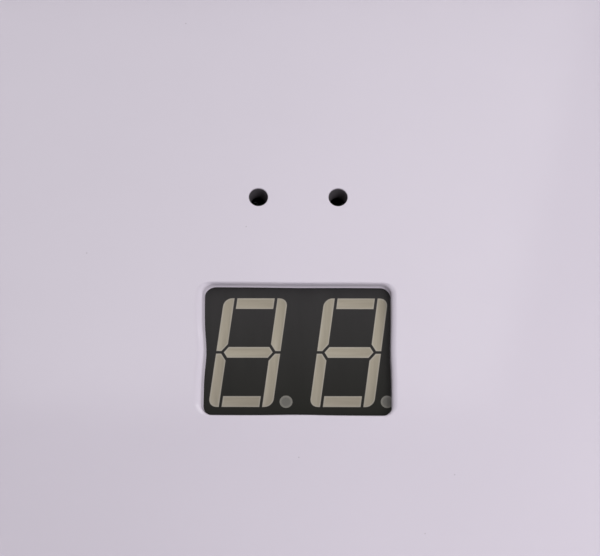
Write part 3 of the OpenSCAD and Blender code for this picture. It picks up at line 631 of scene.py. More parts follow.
def panel_finish(colours):
    """White gloss, a little wavy, with the odd speck of dust."""
    made = Finish("white_gloss")
    white = made.tones(made.ranged(made.noise(30, 2), 0, 1), colours.panel, 0.99, 1.01)
    dust = made.node("TexVoronoi", {"Vector": made.place(), "Scale": 230}, "Distance")
    speck = made.node("Math", {0: dust, 1: 0.02}, operation="LESS_THAN")
    return made.set(Base_Color=made.mix(speck, white, colours.dust),
                    Roughness=made.ranged(made.noise(150, 3), 0.05, 0.08),
                    Normal=made.bump(made.noise(45, 1), 0.015))


def face_finish(colours):
    """Dark print over moulded plastic, with painted shade that darkens it towards its foot, where less light
    from above is reflected.
    """
    made = Finish("display_face")
    # Painted shade: the face goes from its darker foot colour up to its own colour, standing in for light
    # from above
    painted_shade_blend = made.by_height(0, 1, DISPLAY_LOW.z, DISPLAY_HIGH.z)
    streaks = made.ranged(made.noise(500, 3, (1, 1, 0.15)), 0.92, 1.08)
    return made.set(Base_Color=made.scaled(made.mix(painted_shade_blend, colours.face_shaded_foot, colours.face), streaks),
                    Roughness=made.ranged(made.noise(900, 2), 0.30, 0.38),
                    Normal=made.bump(made.noise(2500, 2), 0.003), Specular_IOR_Level=0.15)


def lens_finish(colours):
    """Milky resin: a pale rim, a browner middle, faint streaks along each segment and painted shade that dims
    it towards the foot.
    """
    made = Finish("segment_lens")
    lap, rim, bar = (made.attribute(name) for name in ("lap", "rim", "bar"))
    upright, level = made.noise(2200, 3, (1, 1, 0.08)), made.noise(2200, 3, (0.08, 1, 1))
    streaks = made.ranged(made.node("Mix", {0: bar, 2: upright, 3: level}), 0.93, 1.07)
    # Painted shade: the segments darken towards the foot, as the light from above falls off
    painted_foot_shade = made.by_height(0.88, 1.06, DISPLAY_LOW.z + 2.5 * MM, DISPLAY_MIDDLE.z)
    resin = made.scaled(made.mix(rim, colours.lens, colours.lens_edge), made.product(streaks, painted_foot_shade))
    return made.set(Base_Color=made.mix(lap, resin, colours.face),
                    Roughness=made.ranged(made.noise(700, 2), 0.34, 0.46),
                    Normal=made.bump(made.noise(1500, 2), 0.004))


def point_finish(colours):
    """Milky resin of the decimal points, paler at the rim."""
    made = Finish("point_lens")
    cloud = made.tones(made.noise(1500, 2), colours.point, 0.94, 1.06)
    return made.set(Base_Color=made.mix(made.attribute("rim"), cloud, colours.point_edge),
                    Roughness=made.ranged(made.noise(700, 2), 0.36, 0.44),
                    Normal=made.bump(made.noise(1500, 2), 0.004))


def board_finish(colours):
    """Green solder resist over the weave of the glass cloth."""
    made = Finish("circuit_board")
    cloth = made.product(*(made.wave(420, 0.6, bands_direction=axis) for axis in ("X", "Z")))
    return made.set(Base_Color=made.tones(cloth, colours.board, 0.88, 1.12),
                    Roughness=made.ranged(made.noise(300, 2), 0.26, 0.36), Normal=made.bump(cloth, 0.006))


def resin_finish():
    """Water-clear resin of the lamps."""
    made = Finish("clear_lens")
    return made.set(Base_Color=made.mix(made.noise(300), (0.90, 0.93, 0.94), (0.96, 0.97, 0.97)),
                    Roughness=made.ranged(made.noise(800, 2), 0.02, 0.08),
                    Transmission_Weight=0.9, IOR=1.53)


def make_finishes(colours):
    latch = middle(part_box("latch_plug"))
    FINISHES.update(
        white_plastic=panel_finish(colours),
        display_face=face_finish(colours),
        segment_lens=lens_finish(colours),
        point_lens=point_finish(colours),
        tinned_metal=worked_metal("tinned_metal", colours.tin, 0.28, (1, 1, 1), 0.004),
        circuit_board=board_finish(colours),
        steel=worked_metal("drawn_steel", colours.steel, 0.26, (1, 1, 0.12), 0.003),
        turned_steel=turned_metal("turned_steel", colours.steel, 0.24, latch),
        clear_lens=resin_finish(),
        shield_black=moulded("shield_black", colours.shield, 0.8, 2600, 0.010, 0.1, Specular_IOR_Level=0.1),
        black_plastic=moulded("black_plastic", colours.black, 0.42, 2200, 0.010, 0.12),
        chip_plastic=moulded("chip_epoxy", colours.chip, 0.55, 5000, 0.012, 0.15),
        can_metal=worked_metal("drawn_can", colours.can, 0.3, (1, 0.1, 1), 0.003),
        cream_plastic=moulded("cream_nylon", colours.cream, 0.38, 1800, 0.008, 0.05,
                              Subsurface_Weight=0.15, Subsurface_Scale=1 * MM),
        green_plastic=moulded("green_nylon", colours.terminal, 0.4, 2000, 0.010, 0.08),
        seal_rubber=moulded("seal_rubber", colours.rubber, 0.7, 2600, 0.020, 0.2),
        gland_plastic=moulded("gland_nylon", colours.black, 0.45, 2400, 0.015, 0.12),
        track=moulded("track_resist", colours.track, 0.28, 1200, 0.003, 0.08),
        mark=moulded("board_mark", colours.mark, 0.5, 3000, 0.002, 0.04),
    )


# Components that repeat


def crowned_screws(node, name, body, toward, crown):
    """Copies of a node's screws with crowned heads."""
    low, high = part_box(node)
    on_top = level_with(1, high.y if toward == "back" else low.y)
    boxes = islands(node)
    places = [middle(box) for box in boxes]
    head = max((box[1].x - box[0].x) / 2 for box in boxes)

    def on_rim(edge):
        """Whether an edge lies at the rim of a head and not at its recess."""
        near = [min(math.hypot(vert.co.x - place.x, vert.co.z - place.z) for place in places)
                for vert in edge.verts]
        return min(near) > 0.95 * head and on_top(edge)

    shape = welded(node)
    round_edges(shape, crown, 4, on_rim)
    add_piece(name, shape, body, "steel", replaces=[node])


def leg_columns(node):
    """Where the legs of a chip stand along it."""
    low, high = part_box(node)
    return spaced((low.x + high.x) / 2, round((high.x - low.x) / CHIP_PITCH), CHIP_PITCH)


def flat_chip(node):
    """A chip with drafted sides, a dimple at its first leg and bent legs."""
    low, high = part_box(node)
    reach, thick, wide, lift, draft = mm(1.0, 0.16, 0.42, 0.2, 0.14)
    sides = (low.z + reach, high.z - reach)
    belt = low.y + lift + (high.y - low.y - lift) * 0.55
    body = bmesh.new()
    loft(body, [rectangle(low.x + inset, sides[0] + inset, high.x - inset, sides[1] - inset, y)
                for y, inset in ((low.y + lift, draft), (belt, 0), (high.y, draft))])
    in_x, in_z, floor, rim, foot_radius, rim_radius = mm(1.0, 0.9, -0.12, 0.1, 0.38, 0.45)
    spot = Vector((high.x - in_x, high.y, sides[0] + in_z))
    dimple = turned([(floor, 0), (floor, foot_radius), (rim, rim_radius), (rim, 0)], spot, "back", steps=20)
    add_piece(f"{node}_body", carved(body, dimple), "door", "chip_plastic", replaces=[node])
    legs = bmesh.new()
    root, knee, ankle, heel, hollow = mm(-0.15, 0.28, 0.52, 0.42, 0.16)
    top, bottom = belt - low.y + thick / 2, belt - low.y - thick / 2
    profile = [(root, top), (knee, top), (ankle, thick), (reach, thick), (reach, 0), (heel, 0),
               (hollow, bottom), (root, bottom)]
    for x in leg_columns(node):
        for side, way in ((sides[0], -1), (sides[1], 1)):
            loft(legs, [[Vector((x + half, low.y + up, side + way * out)) for out, up in profile]
                        for half in (-wide / 2, wide / 2)])
    add_piece(f"{node}_legs", legs, "door", "tinned_metal")


def can_capacitor(node, body, toward, vent):
    """A can with a crimped foot and a black polarity mark, on a black base."""
    low, high, spot, tall = footing(node, toward)
    across, up, along = AXES[toward]
    base, slack, foot_edge, edge, vent_deep = mm(0.8, 0.2, 0.1, 0.5, 0.12)
    mark_inset, mark_sunk, mark_high = mm(0.6, 0.05, 0.015)
    half = (high.x - low.x) / 2
    radius = half - slack
    cut = half * 0.32
    corners = [(-half, -half), (half, -half), (half, half - cut), (half - cut, half), (cut - half, half),
               (-half, half - cut)]
    foot = bmesh.new()
    loft(foot, [[spot + across * a + up * b + along * rise for a, b in corners] for rise in (0, base)])
    soften(add_piece(f"{node}_base", foot, body, "black_plastic"), foot_edge)
    crimp = 0.06 * radius * 2
    rows = [(base, 0), (base, radius - foot_edge), (base + crimp * 0.6, radius), (base + crimp, radius)]
    rows += [(base + crimp * (1.2 + 0.2 * i), radius - crimp * 0.9 * math.sin(math.pi * i / 6))
             for i in range(7)]
    rows += rounded(tall, radius, edge, range(0, 91, 18))
    can = bmesh.new()
    rings = revolve(can, rows + [(tall, radius * 0.62), (tall, radius * 0.2), (tall, 0)], spot, toward)
    if vent:
        for verts in rings[-3:-1]:
            for vert in verts[::len(verts) // 4]:
                vert.co -= along * vent_deep
    add_piece(f"{node}_can", can, body, "can_metal", replaces=[node])
    mark = bmesh.new()
    reach = radius - mark_inset
    arc = [math.radians(a) for a in range(-50, 51, 10)]
    loft(mark, [[spot + (across * math.sin(a) + up * math.cos(a)) * reach + along * rise for a in arc]
                for rise in (tall - mark_sunk, tall + mark_high)])
    add_piece(f"{node}_mark", mark, body, "black_plastic")


def pin_header(node, body, toward):
    """A pin header with four posts and two notches in the wall at its right."""
    low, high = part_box(node)
    spot = middle((low, high))
    wall, notch, deep, past, edge, half, neck, tip = mm(0.8, 1.3, 3.2, 0.2, 0.08, 0.32, 1.3, 0.9)
    way = 1 if toward == "back" else -1
    seat, top = (low.y, high.y)[::way]
    cuts = [((low.x + wall, seat + way * wall, low.z + wall),
             (high.x - wall, top + way * past, high.z - wall))]
    for side in (-1, 1):
        z = spot.z + side * PIN_PITCH * 1.1
        cuts.append(((high.x - wall - past, top - way * deep, z - notch / 2),
                     (high.x + wall + past, top + way * past, z + notch / 2)))
    shell = boxed(low, high)
    for cut in cuts:
        shell = carved(shell, boxed(*cut))
    soften(add_piece(f"{node}_shell", shell, body, "cream_plastic", replaces=[node]), edge)
    pins = bmesh.new()
    rows = ((half, seat + way * wall * 0.5), (half, top - way * neck), (half * 0.55, top - way * tip))
    for z in spaced(spot.z, 4, PIN_PITCH):
        loft(pins, [rectangle(spot.x - r, z - r, spot.x + r, z + r, y) for r, y in rows])
    add_piece(f"{node}_posts", pins, body, "tinned_metal")


def hex_nut(name, node, body, slot, toward, bore):
    """A nut with turned corners in the place of a CAD nut."""
    low, high, place, tall = footing(node, toward)
    # The corners lie across one of the other two axes, so the smaller size is across the flats
    across = min(high.x - low.x, high.y - low.y if toward == "up" else high.z - low.z)
    chamfer = 0.07 * across / 2
    rows = [(0, bore + chamfer / 2)]
    rows += hexagon_rows(0, tall, across, across / 2 * 0.99, chamfer, (0, 0.33, 0.67, 1))
    rows += [(tall, bore + chamfer / 2), (tall - chamfer / 2, bore), (chamfer / 2, bore)]
    add_piece(name, turned(rows, place, toward, tube=True), body, slot, replaces=[node])


def lay(copper, lines, cut, width, y, height):
    """Tracks along lines, with their corners cut off."""
    for line in lines:
        ribbon(copper, chamfered(line, cut), width, y, height)


def outline_marks(ink, sizes, y, way, nodes):
    """Printed outlines round components."""
    gap = 0.5 * MM
    for node in nodes:
        low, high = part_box(node)
        corners = rectangle(low.x - gap, low.z - gap, high.x + gap, high.z + gap, y)
        ribbon(ink, [(corner.x, corner.z) for corner in corners], sizes.mark, y, way * sizes.ink, closed=True)


def screw_pads(shape, node, toward, y, outer):
    """Tinned rings round the screws of a board."""
    inner, height = mm(2.3, 0.03)
    for spot in middles(node):
        spot.y = y
        ring(shape, spot, toward, inner, outer, height)


# Stage


def set_camera(scene, settings, aim):
    data = assign(bpy.data.cameras.new("camera"), lens=settings.lens, sensor_width=SENSOR, clip_start=0.01)
    scene.camera = linked("camera", data)
    turn = (Matrix.Rotation(settings.yaw, 3, "Z") @ Matrix.Rotation(settings.tilt, 3, "X")
            @ Matrix.Rotation(settings.roll, 3, "Y"))
    ahead = turn @ Vector((0, 1, 0))
    level = turn @ Matrix.Rotation(math.radians(90), 3, "X")
    scene.camera.matrix_world = Matrix.Translation(aim - ahead * settings.distance) @ level.to_4x4()


def set_floor(settings, base):
    """A pale floor that is clear from below."""
    made = Finish("floor")
    made.set(Base_Color=made.tones(made.noise(3), base, 0.985, 1.015),
             Roughness=made.ranged(made.noise(20), 0.6, 0.7), Specular_IOR_Level=0.0)
    below = made.node("NewGeometry", {}, "Backfacing")
    clear = made.node("BsdfTransparent", {})
    cover = made.node("MixShader", {0: below, 1: made.shader.outputs[0], 2: clear})
    made.fill(made.tree.nodes["Material Output"], {"Surface": cover})
    shape = bmesh.new()
    bmesh.ops.create_grid(shape, x_segments=1, y_segments=1, size=settings.floor_size / 2,
                          matrix=Matrix.Translation((0, 0, CAD_BOX[0].z - settings.floor_drop)))
    floor = baked("floor", shape)
    floor.data.materials.append(made.material)


def set_backdrop(scene, settings):
    """A backdrop that the camera sees, also in gloss and through glass, and a dimmer light all round."""
    scene.world = scene.world or bpy.data.worlds.new("world")
    scene.world.use_nodes = True
    sky = Nodes(scene.world.node_tree)
    seen = 0.0
    for kind in ("Camera", "Glossy", "Transmission"):
        ray = sky.node("LightPath", {}, f"Is {kind} Ray")
        seen = sky.node("Math", {0: seen, 1: ray}, use_clamp=True)
    strength = sky.node("MapRange", {"Value": seen, "To Min": settings.ambient, "To Max": settings.backdrop})
    sky.fill(sky.tree.nodes["Background"], {"Color": (1, 1, 1, 1), "Strength": strength})


def add_light(name, kind, energy, place, facing, **form):
    """A lamp at a place that shines in a direction and is not seen itself."""
    data = assign(bpy.data.lights.new(name, kind), energy=energy, **form)
    turn = Vector(facing).to_track_quat("-Z", "Y").to_euler()
    return assign(linked(name, data), location=place, rotation_euler=turn, visible_camera=False)


def set_lights(settings, aim):
    suns = (
        ("key_light", Vector((0.41, -0.58, 0.71)), settings.key),
        ("back_light", Vector((-0.4, 0.55, 0.73)), settings.back),
    )
    for name, offset, strength in suns:
        add_light(name, "SUN", strength, aim + offset, -offset, angle=settings.spread)
    card = add_light("side_card", "AREA", settings.card, aim + Vector((0.15, -0.2, -0.09)), (-0.1, 0.2, 0.08),
                     shape="RECTANGLE", size=0.12, size_y=0.12, spread=settings.card_spread)
    # The card is close, so it would show as a white patch in the gloss of the case
    card.visible_glossy = False
    add_light("ceiling_panel", "AREA", settings.ceiling, aim + Vector((0.0, -2.2, 0.8)), (0, 0, -1),
              shape="RECTANGLE", size=0.466, size_y=0.94, spread=math.pi)


class HEAD_OT_stage(bpy.types.Operator):
    """Set up the camera, the floor and the light"""

    bl_idname = "signal_head.stage"
    bl_label = "Set up the stage"

    def execute(self, context):
        scene, settings = context.scene, context.scene.head_stage
        aim = Vector((DISPLAY_MIDDLE.x + settings.aim_right, FRONT_Y, DISPLAY_MIDDLE.z + settings.aim_up))
        set_camera(scene, settings, aim)
        set_floor(settings, scene.head_colours.floor)
        set_backdrop(scene, settings)
        set_lights(settings, aim)
        scene.view_settings.view_transform = "Standard"
        return {"FINISHED"}


# Door


def in_lip(face, half):
    """Whether a face belongs to the wall or the rounded edge of the window."""
    centre = face.calc_center_median()
    place = centre - DISPLAY_MIDDLE
    out = max(abs(place.x) - half.x, abs(place.z) - half.z)
    return out < LIP_OUT and centre.y < DISPLAY_LOW.y + LIP_BEHIND


def cut_lip(shape, half, sizes):
    """Cuts the faces round the window across and along, so that the lip can bend."""
    spans = ((0, DISPLAY_MIDDLE.x - half.x, DISPLAY_MIDDLE.x + half.x, sizes.lip_step),
             (2, DISPLAY_MIDDLE.z - half.z, DISPLAY_MIDDLE.z + half.z, sizes.lip_step),
             (1, FRONT_Y + sizes.lip_wall, DISPLAY_LOW.y, sizes.lip_row))
    for axis, low, high, step in spans:
        normal = Vector((0, 0, 0))
        normal[axis] = 1
        count = round((high - low) / step)
        for i in range(1, count):
            point = DISPLAY_MIDDLE.copy()
            point[axis] = low + (high - low) * i / count
            near = [face for face in shape.faces if in_lip(face, half)]
            edges = dict.fromkeys(edge for face in near for edge in face.edges)
            bmesh.ops.bisect_plane(shape, geom=[*near, *edges, *corners_of(near)], dist=CUT_JOIN,
                                   plane_co=point, plane_no=normal)


def inward(side, share, out, depth, sizes):
    """How far a point moves inward, from its share along half a side, its place out and its depth."""
    start, end, pinch, rounding, draft, nose = side
    along = min(1, max(0, (share + 1) / 2))
    full = DISPLAY_LOW.y - FRONT_Y
    slope = max(out, 0) * (rounding / sizes.window_edge - 1) + draft * (1 - depth / full)
    # The nose swells towards its depth and draws back behind it
    if depth > sizes.lip_nose:
        swell = 1 - 1.5 * (depth - sizes.lip_nose) / (full - sizes.lip_nose)
    else:
        swell = max(0, (depth - sizes.lip_wall) / (sizes.lip_nose - sizes.lip_wall)) ** 4
    shift = start + (end - start) * along + pinch * math.exp(-(share / sizes.pinch) ** 2)
    return shift - slope + nose * swell


def bend_lip(shape, half, sizes):
    """Shifts the sides of the window, pinches them at their middles and sets their rounding."""
    for vert in shape.verts:
        place = vert.co - DISPLAY_MIDDLE
        out_x = abs(place.x) - half.x
        out_z = abs(place.z) - half.z
        if vert.co.y > DISPLAY_LOW.y + LEVEL or max(out_x, out_z) > sizes.lip_reach:
            continue
        depth = vert.co.y - FRONT_Y
        if out_x > -CORNER_ZONE:
            side = sizes.window_left if place.x < 0 else sizes.window_right
            vert.co.x -= math.copysign(1, place.x) * inward(side, -place.z / half.z, out_x, depth, sizes)
        if out_z > -CORNER_ZONE:
            side = sizes.window_foot if place.z < 0 else sizes.window_head
            vert.co.z -= math.copysign(1, place.z) * inward(side, place.x / half.x, out_z, depth, sizes)
        past = Vector((out_x + sizes.window_corner, out_z + sizes.window_corner))
        if min(past) > -JOIN:
            # A point of a corner's arc, seen along a way from the arc's centre, goes to the new radius
            way = past.normalized()
            grow = sizes.corners[2 * (place.z < 0) + (place.x > 0)] - sizes.window_corner
            vert.co.x -= math.copysign(grow * (1 - way.x), place.x)
            vert.co.z -= math.copysign(grow * (1 - way.y), place.z)


def hole_rims(shape, depth):
    """The points round the lamp holes down to a depth, with the way to each from its hole's axis."""
    for spot in middles("light_shields"):
        for vert in shape.verts:
            out = Vector((vert.co.x - spot.x, 0, vert.co.z - spot.z))
            if vert.co.y <= depth + LEVEL and out.length <= HOLE_ZONE:
                yield vert, out


def sharpen_holes(shape, sizes):
    """Tightens the rounded rims of the two lamp holes."""
    tight = sizes.hole_edge / sizes.hole_rim
    for vert, out in hole_rims(shape, FRONT_Y + sizes.hole_rim):
        depth = vert.co.y - FRONT_Y
        vert.co += (out - out.normalized() * HOLE_RADIUS) * (tight - 1)
        vert.co.y = FRONT_Y + depth * tight


class HEAD_OT_door(bpy.types.Operator):
    """Mould the door with the slightly bowed lip round its window"""

    bl_idname = "signal_head.door"
    bl_label = "Mould the door"

    def execute(self, context):
        sizes = context.scene.head_sizes
        shape = welded("front_cover")
        inside = DISPLAY_LOW.y + 0.3 * MM
        round_edges(shape, sizes.moulded_edge * 0.8, 2,
                    lambda edge: all(vert.co.y > inside for vert in edge.verts))
        half = (DISPLAY_HIGH - DISPLAY_LOW) / 2 - Vector((1, 0, 1)) * sizes.window_lip
        cut_lip(shape, half, sizes)
        bend_lip(shape, half, sizes)
        sharpen_holes(shape, sizes)
        weigh_normals(add_piece("door_skin", shape, "door", "white_plastic", replaces=["front_cover"]))
        return {"FINISHED"}


# Display


def front_faces(shape):
    """The faces that look to the front."""
    return [face for face in shape.faces if face.normal.y < -0.9]


def inset(shape, faces, width, values):
    """Insets faces and sets values of vertex layers at their new corners."""
    bmesh.ops.inset_individual(shape, faces=faces, thickness=width, use_even_offset=True)
    for vert in corners_of(faces):
        for layer, value in values:
            vert[layer] = value


def point_lenses(sizes):
    """The decimal points, each with a pale rim."""
    shape = welded("decimal_points")
    rim = shape.verts.layers.float.new("rim")
    for vert in shape.verts:
        vert[rim] = 1.0
    inner = front_faces(shape)
    for pale in (1.0, 0.0):
        inset(shape, inner, sizes.lens_rim, [(rim, pale)])
    return shape


def segment_lenses(sizes):
    """The segments, each with the lap of the print, a pale rim and a sunk middle."""
    shape = welded("display_segments")
    lap, rim, bar = [shape.verts.layers.float.new(name) for name in ("lap", "rim", "bar")]
    inner = front_faces(shape)
    for face in inner:
        spans = [[vert.co[axis] for vert in face.verts] for axis in (0, 2)]
        wide, tall = (max(span) - min(span) for span in spans)
        for vert in face.verts:
            vert[lap] = 1.0
            vert[bar] = float(wide > tall)
    # The print laps over the edge of each segment, then come its pale rim and its browner middle
    for width, pale in ((sizes.lens_lap, 1.0), (sizes.lens_rim / 2, 0.6), (sizes.lens_rim / 2, 0.0)):
        inset(shape, inner, width, [(lap, 0.0), (rim, pale)])
    for vert in corners_of(inner):
        vert.co.y += sizes.lens_sink
    return shape


class HEAD_OT_display(bpy.types.Operator):
    """Cast the display: its face, segments, points and pins"""

    bl_idname = "signal_head.display"
    bl_label = "Cast the display"

    def execute(self, context):
        sizes = context.scene.head_sizes
        dress("display_pins", "tinned_metal", sizes.small_edge / 2)
        add_piece("display_case", welded("display_shell"), "door", "display_face", replaces=["display_shell"])
        add_piece("point_lenses", point_lenses(sizes), "door", "point_lens", replaces=["decimal_points"])
        lenses = segment_lenses(sizes)
        add_piece("segment_lenses", lenses, "door", "segment_lens", replaces=["display_segments"])
        return {"FINISHED"}


# Lamps


def flared_shields(sizes):
    """The shields, with a flared mouth that takes in the light from the front."""
    shape = welded("light_shields")
    bore_limit = 1.0 * MM
    for vert, out in hole_rims(shape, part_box("light_shields")[0].y):
        vert.co.y -= sizes.shield_reach
        if out.length < bore_limit:
            vert.co += out.normalized() * sizes.shield_mouth - out
    return shape


class HEAD_OT_lamps(bpy.types.Operator):
    """Cast the two lamps and their legs behind the holes"""

    bl_idname = "signal_head.lamps"
    bl_label = "Cast the lamps"

    def execute(self, context):
        shields = flared_shields(context.scene.head_sizes)
        add_piece("shield_tubes", shields, "door", "black_plastic", "shield_black", ["light_shields"])
        legs = bmesh.new()
        foot, radius, rise, tall, leg, edge = mm(1.9, 1.5, 1.0, 5.3, 0.25, 0.1)
        rows = [(0, 0), (0, foot), (rise - edge, foot), (rise, foot - edge), (rise, radius)]
        rows += [*rounded(tall, radius, radius, range(0, 90, 10)), (tall, 0)]
        for node in LAMPS:
            low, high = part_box(node)
            spot = middle((low, high))
            for x in (spot.x - LAMP_LEG, spot.x + LAMP_LEG):
                block(legs, (x - leg, BOARD_LOW.y - rise / 2, spot.z - leg), (x + leg, high.y, spot.z + leg))
            spot.y = BOARD_LOW.y
            add_piece(f"{node}_resin", turned(rows, spot, "front"), "door", "clear_lens", replaces=[node])
        add_piece("lamp_legs", legs, "door", "tinned_metal")
        return {"FINISHED"}


# Display board


def resistors(sizes):
    """Black bodies between tinned ends."""
    bodies, ends = bmesh.new(), bmesh.new()
    cap, thin = mm(0.38, 0.03)
    for low, high in islands("chip_resistors"):
        block(bodies, (low.x + thin, low.y, low.z + cap), (high.x - thin, high.y - thin, high.z - cap))
        for z0, z1 in ((low.z, low.z + cap), (high.z - cap, high.z)):
            block(ends, (low.x, low.y, z0), (high.x, high.y, z1))
    add_piece("resistor_bodies", bodies, "door", "chip_plastic", replaces=["chip_resistors"])
    soften(add_piece("resistor_ends", ends, "door", "tinned_metal"), sizes.small_edge)


def legs_of(node):
    """Where a chip's lower and upper legs stand on the board, in x and z."""
    low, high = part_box(node)
    toe = 0.3 * MM
    return [[(x, z) for x in leg_columns(node)] for z in (low.z + toe, high.z - toe)]


def display_tracks(sizes):
    """Signal tracks between chips, resistors and pins, and wider ones for the supply; gives the vias."""
    pins = middles("display_pins")
    low_row = sorted(pin.x for pin in pins if pin.z < DISPLAY_MIDDLE.z)
    low_z = min(pin.z for pin in pins)
    high_z = max(pin.z for pin in pins)
    driver, driver_top = legs_of("driver_chip")
    control, control_top = legs_of("controller_chip")
    ends = islands("chip_resistors")
    tops = [((low.x + high.x) / 2, high.z) for low, high in ends]
    feet = [((low.x + high.x) / 2, low.z) for low, high in ends]
    step, lead, drop, turn, chip_rise, chip_gap, header_in = mm(0.6, 1.2, 1.0, 3.0, 4.4, 1.1, 3.4)
    first = tops[0][1] + lead
    lines = [[tops[0], (tops[0][0], first + 6 * step), (control[-1][0], first + 7 * step), control[-1]]]
    # From the resistors to the driver, the leftmost highest, so that none cross
    for i, leg in enumerate(driver[:7]):
        lines.append(bridge(tops[i + 1], first + (6 - i) * step, leg))
    # From the resistors to the upper pins, and round the sides to the lower ones
    for foot, x in zip(feet[1:6], low_row):
        lines.append([foot, (foot[0], foot[1] - drop), (x, high_z + lead), (x, high_z)])
    left, right, far = feet[0][0], feet[6][0], feet[7][0]
    lines.append([feet[0], (left, low_z + turn), (left + turn, low_z), (low_row[0], low_z)])
    lines.append([feet[6], (right, low_z + right - low_row[4]), (low_row[4], low_z)])
    lines.append([feet[7], (far, low_z), (far - turn, low_z - turn), (low_row[3] + turn, low_z - turn),
                  (low_row[3], low_z)])
    # From the two commons round the left to the controller
    for x, leg, down in zip(low_row[1:3], control[2:0:-1], mm(3.4, 4.8)):
        lines.append(bridge((x, low_z), low_z - down, leg))
    # From the lamps to the chips, and between the chips
    for node, legs in zip(LAMPS, (control_top[:-3:-1], driver_top[:2])):
        spot = middle(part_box(node))
        out = math.copysign(LAMP_LEG, spot.x)
        for x, leg, rise in zip((spot.x + out, spot.x - out), legs, mm(1.6, 2.8)):
            lines.append(bridge((x, spot.z), leg[1] + rise, leg))
    for i in range(3):
        start = control_top[4 - i]
        lines.append(bridge(start, start[1] + chip_rise + i * chip_gap, driver_top[3 + i]))
    # From the header to the controller and to vias
    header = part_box("display_header")
    edge, centre = header[1].x, middle(header).z
    upper, lower = centre + 1.5 * PIN_PITCH, centre - 1.5 * PIN_PITCH
    lines.append([(edge, upper), (control[0][0] - header_in, upper), (control[0][0], centre + 3 * PIN_PITCH),
                  control[0]])
    stubs = [(edge, centre + PIN_PITCH / 2), (edge, centre - PIN_PITCH / 2), *control_top[:2]]
    ways = [mm(3.0, 0), mm(4.6, 0), mm(0, 2.2), mm(0, 3.8)]
    vias = [(x + right, z + up) for (x, z), (right, up) in zip(stubs, ways)]
    lines += [[stub, via] for stub, via in zip(stubs, vias)]
    copper = bmesh.new()
    cut, wide_cut, rim, can_in, can_side = mm(0.6, 1.6, 5.0, 1.5, 4.0)
    lay(copper, lines, cut, sizes.track, BOARD_HIGH.y, sizes.copper)
    # From the header by way of the capacitor to the driver
    low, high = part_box("can_capacitor")
    left, right, foot = edge + rim, low.x - can_side, BOARD_LOW.z + rim
    wide = [[(edge, lower), (left, lower), (left, foot), (right, foot), (right, low.z + can_in),
             (low.x, low.z + can_in)],
            [(low.x, high.z - can_in), (driver[-1][0], high.z - can_in), driver[-1]]]
    lay(copper, wide, wide_cut, sizes.track * 2, BOARD_HIGH.y, sizes.copper)
    add_piece("display_tracks", copper, "door", "circuit_board", "track")
    return vias


def solder_joints(sizes, vias):
    """Solder cones round the pins, fillets at the resistors, rings at the vias and screws."""
    solder = bmesh.new()
    lamps = [middle(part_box(node)) for node in LAMPS]
    places = middles("display_pins")
    places += [spot + Vector((side, 0, 0)) for spot in lamps for side in (-LAMP_LEG, LAMP_LEG)]
    pad, neck, thin, reach, climb, lip = mm(0.85, 0.3, 0.03, 0.45, 0.32, 0.05)
    top = sizes.solder
    cone = [(top * t, neck + (pad * 0.9 - neck) * (1 - t) ** 2.2) for t in (0.08, 0.2, 0.4, 0.6, 0.8, 1)]
    for spot in places:
        spot.y = BOARD_HIGH.y
        revolve(solder, [(0, 0), (0, pad), (thin, pad), *cone, (top + thin, 0)], spot, "back", steps=24)
    wedge = [(0, 0), (reach, 0), (reach, lip), (reach * 0.4, climb * 0.35), (0, climb)]
    for low, high in islands("chip_resistors"):
        for z, way in ((low.z, -1), (high.z, 1)):
            loft(solder, [[Vector((x, low.y + up, z + way * out)) for out, up in wedge]
                          for x in (low.x, high.x)])
    for x, z in vias:
        ring(solder, Vector((x, BOARD_HIGH.y, z)), "back", *mm(0.16, 0.38, 0.05))
    screw_pads(solder, "display_screws", "back", BOARD_HIGH.y, 3.3 * MM)
    add_piece("solder_joints", solder, "door", "tinned_metal")


def display_marks(sizes):
    """Printed outlines, and bars beside the resistors."""
    ink = bmesh.new()
    outline_marks(ink, sizes, BOARD_HIGH.y, 1,
                  ["controller_chip", "driver_chip", "can_capacitor", "display_header"])
    gap, end = mm(0.45, 0.2)
    for low, high in islands("chip_resistors"):
        for x in (low.x - gap, high.x + gap):
            ribbon(ink, [(x, low.z + end), (x, high.z - end)], sizes.mark, BOARD_HIGH.y, sizes.ink)
    add_piece("display_board_marks", ink, "door", "circuit_board", "mark")


class HEAD_OT_display_board(bpy.types.Operator):
    """Fit out the display board with its tracks, solder and components"""

    bl_idname = "signal_head.display_board"
    bl_label = "Fit out the display board"

    def execute(self, context):
        sizes = context.scene.head_sizes
        dress("display_board", "circuit_board", sizes.small_edge)
        crowned_screws("display_screws", "display_screw_set", "door", "back", sizes.screw_crown)
        for node in ("controller_chip", "driver_chip"):
            flat_chip(node)
        resistors(sizes)
        can_capacitor("can_capacitor", "door", "back", False)
        pin_header("display_header", "door", "back")
        solder_joints(sizes, display_tracks(sizes))
        display_marks(sizes)
        return {"FINISHED"}


# Latch


def latch_bush(sizes):
    """The bush with its flange in front and its thread behind."""
    spot, tall = footing("latch_bush", "back")[2:]
    flange, stem, bore, pit, pit_deep, flange_t = mm(6.5, 5.0, 3.05, 4.3, 1.0, 1.6)
    chamfer, edge, cut, plain, end = mm(0.5, 0.12, 0.5, 2.4, 0.4)
    rows = [(pit_deep, bore), (pit_deep, pit), (edge, pit), (0, pit + edge), (0, flange - chamfer - edge),
            (edge * 0.4, flange - chamfer + edge * 0.2), (chamfer - edge, flange - edge * 0.6),
            (chamfer + edge, flange), (flange_t, flange), (flange_t, stem)]
    rows += thread(stem, cut, sizes.metal_pitch, flange_t + plain, tall - end)
    rows += [(tall, stem - end), (tall, bore)]
    bush = turned(rows, spot, "back", steps=64, tube=True)
    add_piece("latch_threaded_bush", bush, "door", "steel", "turned_steel", ["latch_bush"])


